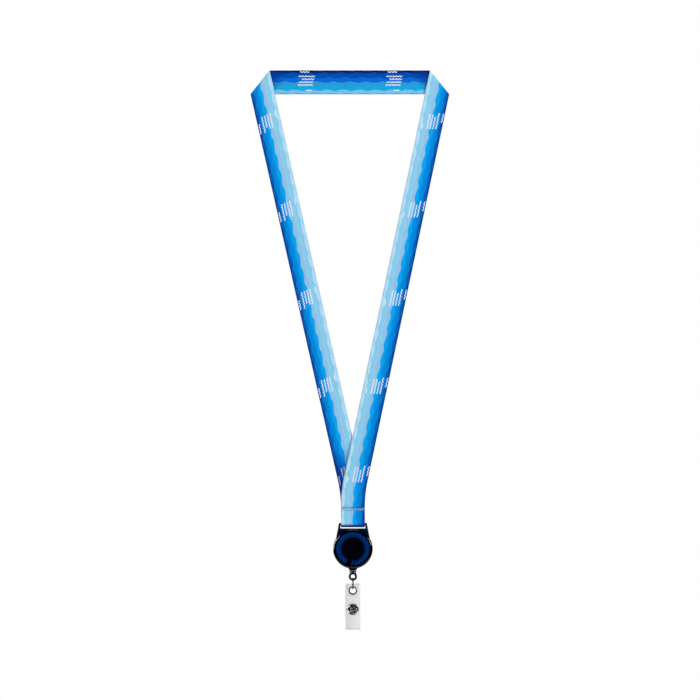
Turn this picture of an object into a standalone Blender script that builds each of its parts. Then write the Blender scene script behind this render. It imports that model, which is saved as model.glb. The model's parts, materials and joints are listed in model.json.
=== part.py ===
"""Neck lanyard with a retractable badge reel and a snap strap, hanging by its neck band.

Frame: metres, +Z up, front towards -Y, origin in the middle of the ribbon's neck band.
The reel and all that hangs below it share one upright line at x = HANG_X, y = HANG_Y.
"""
import math

import bmesh
import bpy
import numpy as np
from mathutils import Vector

MM = 0.001

# Ribbon: one printed strip, folded over at two corners, its ends sewn together below
RIBBON_WIDTH = 20 * MM
RIBBON_THICKNESS = 1 * MM
LAYER_GAP = 0.3 * MM            # between folded layers, and between the ribbon and the bar
NECK_CORNER = 81.5 * MM         # from the neck band's middle to each outer fold corner
HANG_X = 2.5 * MM               # how far the sewn end hangs to the side
LEG_MEET_DROP = 342 * MM        # from the neck band to where the legs' middle lines would meet
LEG_CURVE_HALF = 12.7 * MM      # each leg turns upright over twice this length
LEG_DRIFT = (0.35, 0.8)         # shares of a leg over which the left one drifts back
SEAM_HEIGHT = 8 * MM            # three layers lie flat on each other from the flap's end down
LOOP_DROP = 5.5 * MM            # from the flat layers down to the bar
THREAD_RADIUS = 0.2 * MM
STITCH_STEPS = 12               # zigzags across the ribbon

# Reel case, as seen from the front; depths run towards the front from its middle
REEL_RADIUS = 16.5 * MM
REEL_DEPTH = 9 * MM
REEL_WALL = 1.2 * MM
REEL_SPLIT = 1.8 * MM           # depth where the rear cover's wall ends
SEAT_GAP = 0.3 * MM             # between a piece and what it fits in
FINE_GAP = 0.2 * MM             # between the small pressed fittings
LIP_THICKNESS = 0.7 * MM        # the front cover's lip inside the rear cover's wall
LIP_DEPTH = 1.5 * MM
RIM_ROUND = 1.2 * MM
BAR_RADIUS = 1.15 * MM
FRAME_DEPTH = 2.8 * MM
SLOT_CLEARANCE = 0.4 * MM       # beside the ribbon, at each post
SLOT_FLOOR = 0.1 * MM           # the slot's lower edge above the round case
SLOT_BELOW_RIBBON = 1.25 * MM   # free height under the ribbon's loop
POST_TOP_WIDTH = 1.2 * MM
POST_FOOT_WIDTH = 2.1 * MM
POST_CHAMFER = 0.4 * MM
NOZZLE_LENGTH = 1.7 * MM
NOZZLE_HALF_WIDTHS = (3.8 * MM, 2.8 * MM)
NOZZLE_DEPTH = 3.2 * MM
RIB_ANGLES = (244, 264)         # degrees, anticlockwise from the right
RIB_CLEARANCE = 0.35 * MM       # beside the spool's edge

# Spool, spring and cord
POST_RADIUS = 2 * MM
POST_SLOT = 0.7 * MM
SPOOL_RADIUS = 9.75 * MM
FLANGE_THICKNESS = 0.8 * MM
DRUM_RADIUS = 6.4 * MM
DRUM_WALL = 0.8 * MM
SPOOL_FRONT = 2.5 * MM          # depths of the spool's two faces
SPOOL_BACK = -2.6 * MM
TAB_ANGLE = 75                  # degrees
CORD_RADIUS = 0.35 * MM
WINDING_RADIUS = 9 * MM
SPRING_TURNS = 5
SPRING_STRIP = 0.2 * MM
COVER_THICKNESS = 0.4 * MM

# Cord stop
STOP_WIDTH = 5.6 * MM
STOP_DEPTH = 4.4 * MM
STOP_HEIGHT = 2.7 * MM
EYE_BELOW_BLOCK = 0.1 * MM      # from the block's lower end to the eye's hole
EYE_RADIUS = 3.5 * MM
EYE_HOLE = 1.9 * MM
EYE_THICKNESS = 1.6 * MM
KNOT_RADIUS = 0.55 * MM

# Split ring, seen edge on
WIRE_RADIUS = 0.35 * MM
RING_RADIUS = 4.8 * MM
TURN_GAP = 0.1 * MM             # between the two turns
RING_STEP_HALF = 20             # degrees; over twice this the wire steps to the other turn
RING_PLAY = 0.3 * MM            # between the eye's rim and the ring
RING_TO_EYELET = 1.4 * MM       # from the ring's lowest wire to the eyelet's middle

# Vinyl strap, folded double at the bottom
STRAP_WIDTH = 12.4 * MM
STRAP_LENGTH = 38.3 * MM
LEAF_THICKNESS = 0.6 * MM
LEAF_GAP = 2.6 * MM             # between the two leaves, filled by the press stud
LEAF_CORNER = 1.7 * MM
FOLD_FACETS = 13                # odd, so that the lowest one is level
FRONT_LEAF_LENGTH = 27.1 * MM
EYELET_BELOW_TOP = 5.8 * MM
SNAP_ABOVE_FOLD = 17.1 * MM
EYELET_BORE = 2.45 * MM
EYELET_WALL = 0.3 * MM
EYELET_FLANGE = 3.55 * MM
CAP_RADIUS = 4.8 * MM
SNAP_RADIUS = 3.6 * MM
STUD_RADIUS = 1.4 * MM
RIVET_RADIUS = 1.1 * MM

# Places that follow from the sizes above
LAYER_PITCH = RIBBON_THICKNESS + LAYER_GAP
HANG_Y = -LAYER_PITCH
LOOP_RADIUS = BAR_RADIUS + LAYER_GAP + RIBBON_THICKNESS / 2
SEAM_DROP = LEG_MEET_DROP + LEG_CURVE_HALF      # the flap's cut end
FLAT_END = -(SEAM_DROP + SEAM_HEIGHT)
BAR_DROP = SEAM_DROP + SEAM_HEIGHT + LOOP_DROP
SLOT_HALF_WIDTH = RIBBON_WIDTH / 2 + SLOT_CLEARANCE
BAR_HEIGHT = REEL_RADIUS + SLOT_FLOOR + SLOT_BELOW_RIBBON + LOOP_RADIUS + RIBBON_THICKNESS / 2
REEL_DROP = BAR_DROP + BAR_HEIGHT
HALF_DEPTH = REEL_DEPTH / 2
WALL_INNER = REEL_RADIUS - REEL_WALL
WALL_MIDDLE = REEL_RADIUS - REEL_WALL / 2       # where added shapes end inside the wall
NOZZLE_END = REEL_RADIUS + NOZZLE_LENGTH
STOP_TOP = -REEL_DROP - NOZZLE_END - SEAT_GAP
EYE_Z = STOP_TOP - STOP_HEIGHT - EYE_BELOW_BLOCK - EYE_HOLE
RING_MIDDLE = RING_RADIUS - WIRE_RADIUS         # radius of the wire's own middle line
TURN_PITCH = 2 * WIRE_RADIUS + TURN_GAP
RING_Z = EYE_Z - EYE_HOLE + RING_PLAY - (RING_MIDDLE - WIRE_RADIUS)
EYELET_Z = RING_Z - RING_MIDDLE - RING_TO_EYELET
STRAP_TOP = EYELET_Z + EYELET_BELOW_TOP
STRAP_BOTTOM = STRAP_TOP - STRAP_LENGTH
LEAF_PITCH = LEAF_THICKNESS + LEAF_GAP
FOLD_Z = STRAP_BOTTOM + (LEAF_PITCH + LEAF_THICKNESS) / 2
SNAP_Z = STRAP_BOTTOM + SNAP_ABOVE_FOLD
FRONT_LEAF_TOP = STRAP_BOTTOM + FRONT_LEAF_LENGTH

FACING_FRONT = (math.pi / 2, 0, 0)              # local Z towards the viewer, local Y up


# ---------------------------------------------------------------- tools
def material(name, colour, roughness, metallic=0.0):
    made = bpy.data.materials.new(name)
    made.use_nodes = True
    shader = made.node_tree.nodes["Principled BSDF"]
    shader.inputs["Base Color"].default_value = (*colour, 1)
    shader.inputs["Roughness"].default_value = roughness
    shader.inputs["Metallic"].default_value = metallic
    return made


def collection(name):
    made = bpy.data.collections.new(name)
    bpy.context.scene.collection.children.link(made)
    return made


def start_scene():
    for old in list(bpy.data.objects):
        bpy.data.objects.remove(old, do_unlink=True)
    return collection("badge_lanyard"), collection("cutters")


def place(obj, location, rotation=(0, 0, 0), finish=None):
    """Puts a new object in the lanyard's collection, at its place and with its material."""
    for old in list(obj.users_collection):
        old.objects.unlink(obj)
    LANYARD.objects.link(obj)
    obj.location = location
    obj.rotation_euler = rotation
    if finish:
        obj.data.materials.append(finish)
    return obj


def as_cutter(obj):
    """Hides a helper solid and keeps it in the cutters' collection."""
    for old in list(obj.users_collection):
        old.objects.unlink(obj)
    CUTTERS.objects.link(obj)
    obj.hide_render = True
    obj.display_type = "WIRE"
    return obj


def combine(obj, helper, operation):
    change = obj.modifiers.new(f"{operation.lower()}_{helper.name}", "BOOLEAN")
    change.operation = operation
    change.object = as_cutter(helper)


def mesh_object(name, points, edges=(), faces=()):
    mesh = bpy.data.meshes.new(name)
    mesh.from_pydata([tuple(p) for p in points], list(edges), list(faces))
    obj = bpy.data.objects.new(name, mesh)
    bpy.context.scene.collection.objects.link(obj)
    return obj


def turned(name, profile, steps=32, ring=False):
    """A profile of (radius, height), down its outer side, turned about local Z."""
    count = len(profile)
    edges = [(i, i + 1) for i in range(count - 1)] + ([(count - 1, 0)] if ring else [])
    obj = mesh_object(name, [(r, 0, z) for r, z in profile], edges)
    screw = obj.modifiers.new("turn", "SCREW")
    screw.steps = steps
    screw.render_steps = steps
    screw.use_merge_vertices = True
    screw.merge_threshold = 0.001 * MM
    screw.use_smooth_shade = True
    return obj


def ring_profile(inner, outer, low, high, chamfer=0.0):
    """A rectangle between two radii and two heights, its corners cut off by the chamfer."""
    corners = [
        (outer, high, (-1, 0), (0, -1)), (outer, low, (0, 1), (-1, 0)),
        (inner, low, (1, 0), (0, 1)), (inner, high, (0, -1), (1, 0)),
    ]
    if not chamfer:
        return [(r, z) for r, z, _, _ in corners]
    return [
        (r + chamfer * a, z + chamfer * b)
        for r, z, before, after in corners
        for a, b in (before, after)
    ]


def flat_curve(name, outlines, thickness):
    """A flat outline, and any holes in it, with half its thickness on each side."""
    curve = bpy.data.curves.new(name, "CURVE")
    curve.dimensions = "2D"
    curve.fill_mode = "BOTH"
    curve.extrude = thickness / 2
    for outline in outlines:
        spline = curve.splines.new("POLY")
        spline.points.add(len(outline) - 1)
        for point, (x, y) in zip(spline.points, outline):
            point.co = (x, y, 0, 1)
        spline.use_cyclic_u = True
    obj = bpy.data.objects.new(name, curve)
    bpy.context.scene.collection.objects.link(obj)
    return obj


def meshed(curve_object):
    """The same solid as a welded mesh, which a Boolean modifier can use."""
    evaluated = curve_object.evaluated_get(bpy.context.evaluated_depsgraph_get())
    mesh = bpy.data.meshes.new_from_object(evaluated)
    shape = bmesh.new()
    shape.from_mesh(mesh)
    bmesh.ops.remove_doubles(shape, verts=shape.verts, dist=0.001 * MM)
    shape.to_mesh(mesh)
    shape.free()
    name = curve_object.name
    bpy.data.objects.remove(curve_object, do_unlink=True)
    obj = bpy.data.objects.new(name, mesh)
    bpy.context.scene.collection.objects.link(obj)
    return obj


def tube(name, points, radius):
    curve = bpy.data.curves.new(name, "CURVE")
    curve.dimensions = "3D"
    curve.bevel_depth = radius
    curve.bevel_resolution = 2
    curve.use_fill_caps = True
    spline = curve.splines.new("POLY")
    spline.points.add(len(points) - 1)
    for point, place_at in zip(spline.points, points):
        point.co = (*place_at, 1)
    obj = bpy.data.objects.new(name, curve)
    bpy.context.scene.collection.objects.link(obj)
    return obj


def cylinder(name, radius, length, location, rotation=(0, 0, 0), sides=32):
    bpy.ops.mesh.primitive_cylinder_add(
        vertices=sides, radius=radius, depth=length, location=location, rotation=rotation
    )
    bpy.context.object.name = name
    return bpy.context.object


def block(name, size, location, rotation=(0, 0, 0)):
    bpy.ops.mesh.primitive_cube_add(size=1, location=location, rotation=rotation)
    obj = bpy.context.object
    obj.name = name
    obj.scale = size
    bpy.ops.object.transform_apply(location=False, rotation=False, scale=True)
    return obj


def arc(radius, start, end, steps, centre=(0, 0)):
    """Points along a circle, between two angles in degrees."""
    return [
        (centre[0] + radius * math.cos(a), centre[1] + radius * math.sin(a))
        for a in np.radians(np.linspace(start, end, steps + 1))
    ]


def smooth_step(t):
    t = min(max(t, 0.0), 1.0)
    return t * t * (3 - 2 * t)


def on_hang_line(z, forward=0.0):
    """A point of the upright line that everything below the ribbon hangs on."""
    return HANG_X, HANG_Y - forward, z


# ---------------------------------------------------------------- ribbon
def corner_fold(side):
    """The crease between the neck band and one leg.

    The crease halves the angle between the band's run and the leg's, so it is their sum.
    Returns the crease's edge pairs round a half turn, the leg's start and its run.
    """
    half = RIBBON_WIDTH / 2
    radius = LAYER_PITCH / 2
    run_in = np.array([side, 0.0])
    tilt = 0.2
    for _ in range(20):
        run_out = np.array([-side * math.sin(tilt), -math.cos(tilt)])
        crease = (run_in + run_out) / np.linalg.norm(run_in + run_out)
        along = run_in @ crease
        outward = run_in - along * crease
        across = np.linalg.norm(outward)
        outward /= across
        bottom = np.array([side * NECK_CORNER, -half])
        top = bottom - crease * RIBBON_WIDTH / -crease[1]
        shift = crease * along * radius * math.pi / across
        start = (top + bottom) / 2 + shift
        tilt = math.atan2(side * (start[0] - HANG_X), start[1] + LEG_MEET_DROP)
    pairs = []
    for angle in np.linspace(0, math.pi, 9):
        moved = shift * angle / math.pi + outward * radius * math.sin(angle)
        depth = -radius * (1 - math.cos(angle))
        pairs.append([(p[0], depth, p[1]) for p in (top + moved, bottom + moved)])
    reach = half * along / across
    return pairs, start, run_out, reach


def leg_pairs(side):
    """Edge pairs down one leg: straight, then curving in its own plane until it is upright."""
    _, start, run, reach = corner_fold(side)
    meet = np.array([HANG_X, -LEG_MEET_DROP])
    straight_end = meet - run * LEG_CURVE_HALF
    upright_start = meet - np.array([0, LEG_CURVE_HALF])
    first = start + run * (reach + RIBBON_THICKNESS)
    line = [first + (straight_end - first) * t for t in np.linspace(0, 1, 13)]
    line += [
        (1 - t) ** 2 * straight_end + 2 * t * (1 - t) * meet + t * t * upright_start
        for t in np.linspace(0, 1, 7)[1:]
    ]
    runs = np.gradient(np.array(line), axis=0)
    pairs = []
    for point, direction in zip(line, runs):
        direction = direction / np.linalg.norm(direction)
        inward = np.array([direction[1], -direction[0]]) * side * RIBBON_WIDTH / 2
        depth = leg_depth(side, point[1])
        pairs.append([(p[0], depth, p[1]) for p in (point + inward, point - inward)])
    pairs[-1] = level_pair(side, leg_depth(side, -SEAM_DROP), -SEAM_DROP)
    return pairs


def leg_depth(side, z):
    """The left leg drifts back behind the right one before they cross."""
    if side > 0:
        return -LAYER_PITCH
    start, end = LEG_DRIFT
    return -LAYER_PITCH * (1 - smooth_step((-z / SEAM_DROP - start) / (end - start)))


def level_pair(side, y, z):
    """A level pair of edge points on the hang line; side says which edge comes first."""
    half = RIBBON_WIDTH / 2
    return [(HANG_X - side * half, y, z), (HANG_X + side * half, y, z)]


def bar_loop_pairs():
    """The left leg's end: down behind, round the bar, and up in front as the sewn flap."""
    back, front = 0.0, HANG_Y - LAYER_PITCH
    path = []
    for t in np.linspace(0, 1, 6)[:-1]:
        y = back + (HANG_Y + LOOP_RADIUS - back) * smooth_step(t)
        path.append((y, FLAT_END + (-BAR_DROP - FLAT_END) * t))
    for angle in np.linspace(0, -math.pi, 13):
        y = HANG_Y + LOOP_RADIUS * math.cos(angle)
        path.append((y, -BAR_DROP + LOOP_RADIUS * math.sin(angle)))
    for t in np.linspace(0, 1, 6)[1:]:
        y = HANG_Y - LOOP_RADIUS + (front - HANG_Y + LOOP_RADIUS) * smooth_step(t)
        path.append((y, -BAR_DROP + (FLAT_END + BAR_DROP) * t))
    path.append((front, -SEAM_DROP))
    return [level_pair(-1, y, z) for y, z in path]


def ribbon_pairs():
    """Every pair of edge points, from the right leg's sewn end round the neck to the flap."""
    right_end = level_pair(1, HANG_Y, FLAT_END)
    right = leg_pairs(1) + [right_end]
    right_fold, left_fold = corner_fold(1)[0], corner_fold(-1)[0]
    half = RIBBON_WIDTH / 2
    middle = [[(0, 0, half), (0, 0, -half)]]
    upward = right[::-1] + right_fold[::-1]
    return upward + middle + left_fold + leg_pairs(-1) + bar_loop_pairs()


def make_neck_strap():
    pairs = ribbon_pairs()
    points = [point for pair in pairs for point in pair]
    faces = [(2 * i, 2 * i + 1, 2 * i + 3, 2 * i + 2) for i in range(len(pairs) - 1)]
    strap = place(mesh_object("neck_strap", points, faces=faces), (0, 0, 0), finish=RIBBON)
    wall = strap.modifiers.new("cloth", "SOLIDIFY")
    wall.thickness = RIBBON_THICKNESS
    wall.offset = 0
    wall.use_even_offset = True


def make_threads():
    """The lockstitch across the sewn end: one thread zigzags in front, one behind."""
    half_row = RIBBON_WIDTH / 2 - 0.8 * MM
    stitch_height = 1.2 * MM
    row_z = -SEAM_DROP - 1.4 * MM
    out = RIBBON_THICKNESS / 2 + LAYER_GAP + THREAD_RADIUS
    for name, y in (
        ("needle_thread", HANG_Y - LAYER_PITCH - out),
        ("bobbin_thread", HANG_Y + LAYER_PITCH + out),
    ):
        xs = np.linspace(-half_row, half_row, 2 * STITCH_STEPS + 1)
        points = [
            (HANG_X + x, y, row_z + stitch_height / 2 * (-1) ** i) for i, x in enumerate(xs)
        ]
        place(tube(name, points, THREAD_RADIUS), (0, 0, 0), finish=THREAD)


# ---------------------------------------------------------------- reel
def at_reel(depth=0.0):
    """A point on the case's axis, at a depth towards the front."""
    return on_hang_line(-REEL_DROP, depth)


def loop_frame():
    """Shoulder and two posts, which carry the bar; its lower edge lies inside the wall."""
    slot_floor = REEL_RADIUS + SLOT_FLOOR
    post_top = BAR_HEIGHT + BAR_RADIUS
    post = [
        (SLOT_HALF_WIDTH, slot_floor), (SLOT_HALF_WIDTH, post_top),
        (SLOT_HALF_WIDTH + POST_TOP_WIDTH - POST_CHAMFER, post_top),
        (SLOT_HALF_WIDTH + POST_TOP_WIDTH, post_top - POST_CHAMFER),
        (SLOT_HALF_WIDTH + POST_FOOT_WIDTH, slot_floor),
    ]
    shoulder_start = 24
    outline = arc(WALL_MIDDLE, shoulder_start, 180 - shoulder_start, 20)
    outline += [(-x, y) for x, y in reversed(post)] + post
    frame = meshed(flat_curve("loop_frame", [outline], FRAME_DEPTH))
    frame.location = at_reel()
    frame.rotation_euler = FACING_FRONT
    return frame


def nozzle():
    wide, narrow = NOZZLE_HALF_WIDTHS
    outline = [
        (-narrow, -NOZZLE_END), (narrow, -NOZZLE_END), (wide, -WALL_MIDDLE), (-wide, -WALL_MIDDLE)
    ]
    shape = meshed(flat_curve("nozzle", [outline], NOZZLE_DEPTH))
    shape.location = at_reel()
    shape.rotation_euler = FACING_FRONT
    return shape


def cord_rib():
    """A block behind the spool's edge that keeps slack cord out of the nozzle's mouth."""
    low, high = RIB_ANGLES
    outline = arc(SPOOL_RADIUS + RIB_CLEARANCE, low, high, 4)
    outline += arc(WALL_MIDDLE, high, low, 4)
    back = -HALF_DEPTH + REEL_WALL / 2
    front = REEL_SPLIT - LIP_DEPTH
    shape = meshed(flat_curve("cord_rib", [outline], front - back))
    shape.location = at_reel((front + back) / 2)
    shape.rotation_euler = FACING_FRONT
    return shape


def make_rear_cover():
    inside_back = -HALF_DEPTH + REEL_WALL
    post_front = HALF_DEPTH - REEL_WALL - SEAT_GAP
    profile = [
        (0, post_front), (POST_RADIUS, post_front), (POST_RADIUS, inside_back),
        (WALL_INNER, inside_back), (WALL_INNER, REEL_SPLIT), (REEL_RADIUS, REEL_SPLIT),
        (REEL_RADIUS, -HALF_DEPTH + RIM_ROUND),
        (REEL_RADIUS - 0.3 * RIM_ROUND, -HALF_DEPTH + 0.3 * RIM_ROUND),
        (REEL_RADIUS - RIM_ROUND, -HALF_DEPTH), (0, -HALF_DEPTH),
    ]
    cover = place(turned("rear_cover", profile, 64), at_reel(), FACING_FRONT, CASE)
    bar_length = 2 * SLOT_HALF_WIDTH + POST_TOP_WIDTH
    bar = cylinder(
        "bar", BAR_RADIUS, bar_length, on_hang_line(-BAR_DROP), (0, math.pi / 2, 0), 24
    )
    bore = cylinder(
        "cord_bore", CORD_RADIUS + SEAT_GAP, NOZZLE_END - WALL_INNER + 2 * REEL_WALL,
        on_hang_line(-REEL_DROP - (NOZZLE_END + WALL_INNER) / 2), sides=24,
    )
    slot_depth = post_front + SPOOL_FRONT
    slot = block(
        "spring_slot", (3 * POST_RADIUS, POST_SLOT, slot_depth),
        at_reel(post_front - slot_depth / 2 + FINE_GAP), FACING_FRONT,
    )
    for helper in (loop_frame(), bar, nozzle(), cord_rib()):
        combine(cover, helper, "UNION")
    for helper in (bore, slot):
        combine(cover, helper, "DIFFERENCE")


def make_front_cover():
    inside_front = HALF_DEPTH - REEL_WALL
    lip_outer = WALL_INNER - SEAT_GAP
    lip_inner = lip_outer - LIP_THICKNESS
    lip_end = REEL_SPLIT - LIP_DEPTH + SEAT_GAP
    edge = REEL_SPLIT + SEAT_GAP
    profile = [
        (0, HALF_DEPTH), (REEL_RADIUS - 2 * RIM_ROUND, HALF_DEPTH),
        (REEL_RADIUS - RIM_ROUND, HALF_DEPTH - 0.15 * RIM_ROUND),
        (REEL_RADIUS - 0.3 * RIM_ROUND, HALF_DEPTH - 0.55 * RIM_ROUND),
        (REEL_RADIUS, HALF_DEPTH - 1.2 * RIM_ROUND), (REEL_RADIUS, edge),
        (lip_outer, edge), (lip_outer, lip_end), (lip_inner, lip_end),
        (lip_inner, inside_front), (0, inside_front),
    ]
    place(turned("front_cover", profile, 64), at_reel(), FACING_FRONT, CASE)


def make_spool():
    """Two flanges and a drum that is open at the back for the spring."""
    web_back = SPOOL_FRONT - FLANGE_THICKNESS
    rear_front = SPOOL_BACK + FLANGE_THICKNESS
    bore = POST_RADIUS + SEAT_GAP
    profile = [
        (SPOOL_RADIUS, SPOOL_FRONT), (SPOOL_RADIUS, web_back), (DRUM_RADIUS, web_back),
        (DRUM_RADIUS, rear_front), (SPOOL_RADIUS, rear_front), (SPOOL_RADIUS, SPOOL_BACK),
        (DRUM_RADIUS - DRUM_WALL, SPOOL_BACK), (DRUM_RADIUS - DRUM_WALL, web_back),
        (bore, web_back), (bore, SPOOL_FRONT),
    ]
    spool = place(turned("spool", profile, 48, ring=True), at_reel(), FACING_FRONT, SPOOL)
    tab_height, foot, tip = 0.8 * MM, 6, 4
    outline = arc(SPOOL_RADIUS - tab_height, TAB_ANGLE - foot, TAB_ANGLE + foot, 3)
    outline += arc(SPOOL_RADIUS + tab_height, TAB_ANGLE + tip, TAB_ANGLE - tip, 3)
    tab = meshed(flat_curve("cord_tab", [outline], FLANGE_THICKNESS * 0.9))
    tab.location = at_reel(SPOOL_FRONT - FLANGE_THICKNESS / 2)
    tab.rotation_euler = FACING_FRONT
    combine(spool, tab, "UNION")


def make_power_spring():
    """A flat strip: a tail in the post's slot, then a spiral out to the drum's wall."""
    inner = POST_RADIUS + SEAT_GAP + SPRING_STRIP
    outer = DRUM_RADIUS - DRUM_WALL - SEAT_GAP - SPRING_STRIP
    line = [(0.2 * POST_RADIUS, 0.0), (0.9 * POST_RADIUS, 0.0)]
    for turn in np.linspace(0, SPRING_TURNS, 22 * SPRING_TURNS + 1):
        radius = inner + (outer - inner) * turn / SPRING_TURNS
        angle = turn * math.tau
        line.append((radius * math.cos(angle), radius * math.sin(angle)))
    low = SPOOL_BACK + COVER_THICKNESS + 2 * SEAT_GAP
    high = SPOOL_FRONT - FLANGE_THICKNESS - SEAT_GAP
    points = [(x, y, z) for x, y in line for z in (low, high)]
    faces = [(2 * i, 2 * i + 2, 2 * i + 3, 2 * i + 1) for i in range(len(line) - 1)]
    spring = mesh_object("power_spring", points, faces=faces)
    place(spring, at_reel(), FACING_FRONT, STEEL)
    strip = spring.modifiers.new("strip", "SOLIDIFY")
    strip.thickness = SPRING_STRIP
    strip.offset = 0


def make_spring_cover():
    inner = POST_RADIUS + 2 * SEAT_GAP
    outer = DRUM_RADIUS - DRUM_WALL - SEAT_GAP
    profile = ring_profile(inner, outer, SPOOL_BACK, SPOOL_BACK + COVER_THICKNESS)
    place(turned("spring_cover", profile, 40, ring=True), at_reel(), FACING_FRONT, STEEL)


def make_cord():
    """The wound cord, its run to the nozzle, and its knotted end in the cord stop."""
    low = SPOOL_BACK + FLANGE_THICKNESS + SEAT_GAP
    high = SPOOL_FRONT - FLANGE_THICKNESS - SEAT_GAP
    profile = ring_profile(DRUM_RADIUS + SEAT_GAP, WINDING_RADIUS, low, high, CORD_RADIUS)
    place(turned("cord_winding", profile, 48, ring=True), at_reel(), FACING_FRONT, CORD)

    tangent_radius = WINDING_RADIUS + SEAT_GAP + CORD_RADIUS
    bend = np.array([0, -(WALL_INNER - 2 * REEL_WALL)])
    angle = -math.pi / 2 + math.acos(tangent_radius / -bend[1])
    leave = tangent_radius * np.array([math.cos(angle), math.sin(angle)])
    enter = bend + (leave - bend) * 0.2
    mouth = np.array([0, -WALL_INNER])
    line = [leave + (enter - leave) * t for t in np.linspace(0, 1, 5)]
    line += [
        (1 - t) ** 2 * enter + 2 * t * (1 - t) * bend + t * t * mouth
        for t in np.linspace(0, 1, 7)[1:]
    ]
    line.append(np.array([0, -NOZZLE_END]))
    run = tube("cord_run", [(x, y, 0) for x, y in line], CORD_RADIUS)
    place(run, at_reel(), FACING_FRONT, CORD)

    knot_z = -1.7 * MM
    knot = [
        (KNOT_RADIUS * math.cos(a), knot_z + KNOT_RADIUS * math.sin(a))
        for a in np.radians(np.linspace(50, -90, 8))
    ]
    knot[-1] = (0, knot_z - KNOT_RADIUS)
    profile = [(0, 0), (CORD_RADIUS, 0), (CORD_RADIUS, knot[0][1])] + knot
    place(turned("cord_end", profile, 16), on_hang_line(STOP_TOP), finish=CORD)


# ---------------------------------------------------------------- what hangs on the cord
def make_cord_stop():
    """A block with a knot pocket and two windows, above a flat round eye."""
    bottom = STOP_TOP - STOP_HEIGHT
    middle = on_hang_line((STOP_TOP + bottom) / 2)
    stop = block("cord_stop", (STOP_WIDTH, STOP_DEPTH, STOP_HEIGHT), middle)
    place(stop, stop.location.copy(), finish=CASE)
    rounded = stop.modifiers.new("rounded", "BEVEL")
    rounded.width = 0.5 * MM
    rounded.segments = 2
    eye = turned(
        "eye", ring_profile(
            EYE_HOLE, EYE_RADIUS, -EYE_THICKNESS / 2, EYE_THICKNESS / 2, 0.35 * MM
        ), 40, ring=True,
    )
    eye.location = on_hang_line(EYE_Z)
    eye.rotation_euler = FACING_FRONT
    combine(stop, eye, "UNION")
    pocket_top, pocket_floor = STOP_TOP - 1.1 * MM, bottom + 0.4 * MM
    pocket_radius = KNOT_RADIUS + SEAT_GAP + 0.1 * MM
    bore = cylinder(
        "stop_bore", CORD_RADIUS + SEAT_GAP, 3 * MM, on_hang_line(STOP_TOP), sides=20
    )
    pocket = cylinder(
        "knot_pocket", pocket_radius, pocket_top - pocket_floor,
        on_hang_line((pocket_top + pocket_floor) / 2), sides=20,
    )
    combine(stop, bore, "DIFFERENCE")
    combine(stop, pocket, "DIFFERENCE")
    window_width, window_x = 0.8 * MM, 1.8 * MM
    window_size = (window_width, 2 * STOP_DEPTH, STOP_HEIGHT - 1.1 * MM)
    for side, name in ((-1, "left_window"), (1, "right_window")):
        window = block(name, window_size, Vector(middle) + Vector((side * window_x, 0, 0)))
        combine(stop, window, "DIFFERENCE")


def make_split_ring():
    """Two flat turns of wire side by side, in the plane that the view looks along.

    The wire steps from one turn to the other at the back, between its own two ends.
    """
    step_half = math.radians(RING_STEP_HALF)
    points = []
    for angle in np.linspace(step_half, 2 * math.tau - step_half, 57):
        crossed = smooth_step((angle - math.tau) / (2 * step_half) + 0.5)
        points.append((
            TURN_PITCH * (crossed - 0.5),
            RING_MIDDLE * math.cos(angle),
            RING_MIDDLE * math.sin(angle),
        ))
    place(tube("split_ring", points, WIRE_RADIUS), on_hang_line(RING_Z), finish=STEEL)


def leaf_outline(top, bottom):
    """A leaf with two round top corners and a square lower end."""
    half = STRAP_WIDTH / 2
    inner = half - LEAF_CORNER
    outline = arc(LEAF_CORNER, 0, 90, 6, (inner, top - LEAF_CORNER))
    outline += arc(LEAF_CORNER, 90, 180, 6, (-inner, top - LEAF_CORNER))
    return outline + [(-half, bottom), (half, bottom)]


def make_vinyl_strap():
    """One strip in three pieces: the leaf at the back, its round fold, the leaf in front."""
    fold_end = FOLD_Z + SEAT_GAP / 2
    eyelet_hole = arc(EYELET_BORE + EYELET_WALL + SEAT_GAP, 0, 360, 28, (0, EYELET_Z))[:-1]
    snap_hole = arc(RIVET_RADIUS + SEAT_GAP, 0, 360, 16, (0, SNAP_Z))[:-1]
    back = flat_curve(
        "vinyl_back_leaf", [leaf_outline(STRAP_TOP, fold_end), eyelet_hole, snap_hole],
        LEAF_THICKNESS,
    )
    place(back, on_hang_line(0), FACING_FRONT, VINYL)
    front = flat_curve(
        "vinyl_front_leaf", [leaf_outline(FRONT_LEAF_TOP, fold_end), snap_hole],
        LEAF_THICKNESS,
    )
    place(front, on_hang_line(0, LEAF_PITCH), FACING_FRONT, VINYL)

    radius = LEAF_PITCH / 2
    half = STRAP_WIDTH / 2
    drop = SEAT_GAP / 2
    line = [(radius, -drop)] + [
        (radius * math.cos(a), -drop - (radius - drop) * math.sin(a))
        for a in np.linspace(0, math.pi, FOLD_FACETS + 1)[1:-1]
    ] + [(-radius, -drop)]
    points = [(x, y, z) for y, z in line for x in (-half, half)]
    faces = [(2 * i, 2 * i + 1, 2 * i + 3, 2 * i + 2) for i in range(len(line) - 1)]
    fold = mesh_object("vinyl_fold", points, faces=faces)
    place(fold, on_hang_line(FOLD_Z, radius), finish=VINYL)
    sheet = fold.modifiers.new("sheet", "SOLIDIFY")
    sheet.thickness = LEAF_THICKNESS
    sheet.offset = 0


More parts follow.
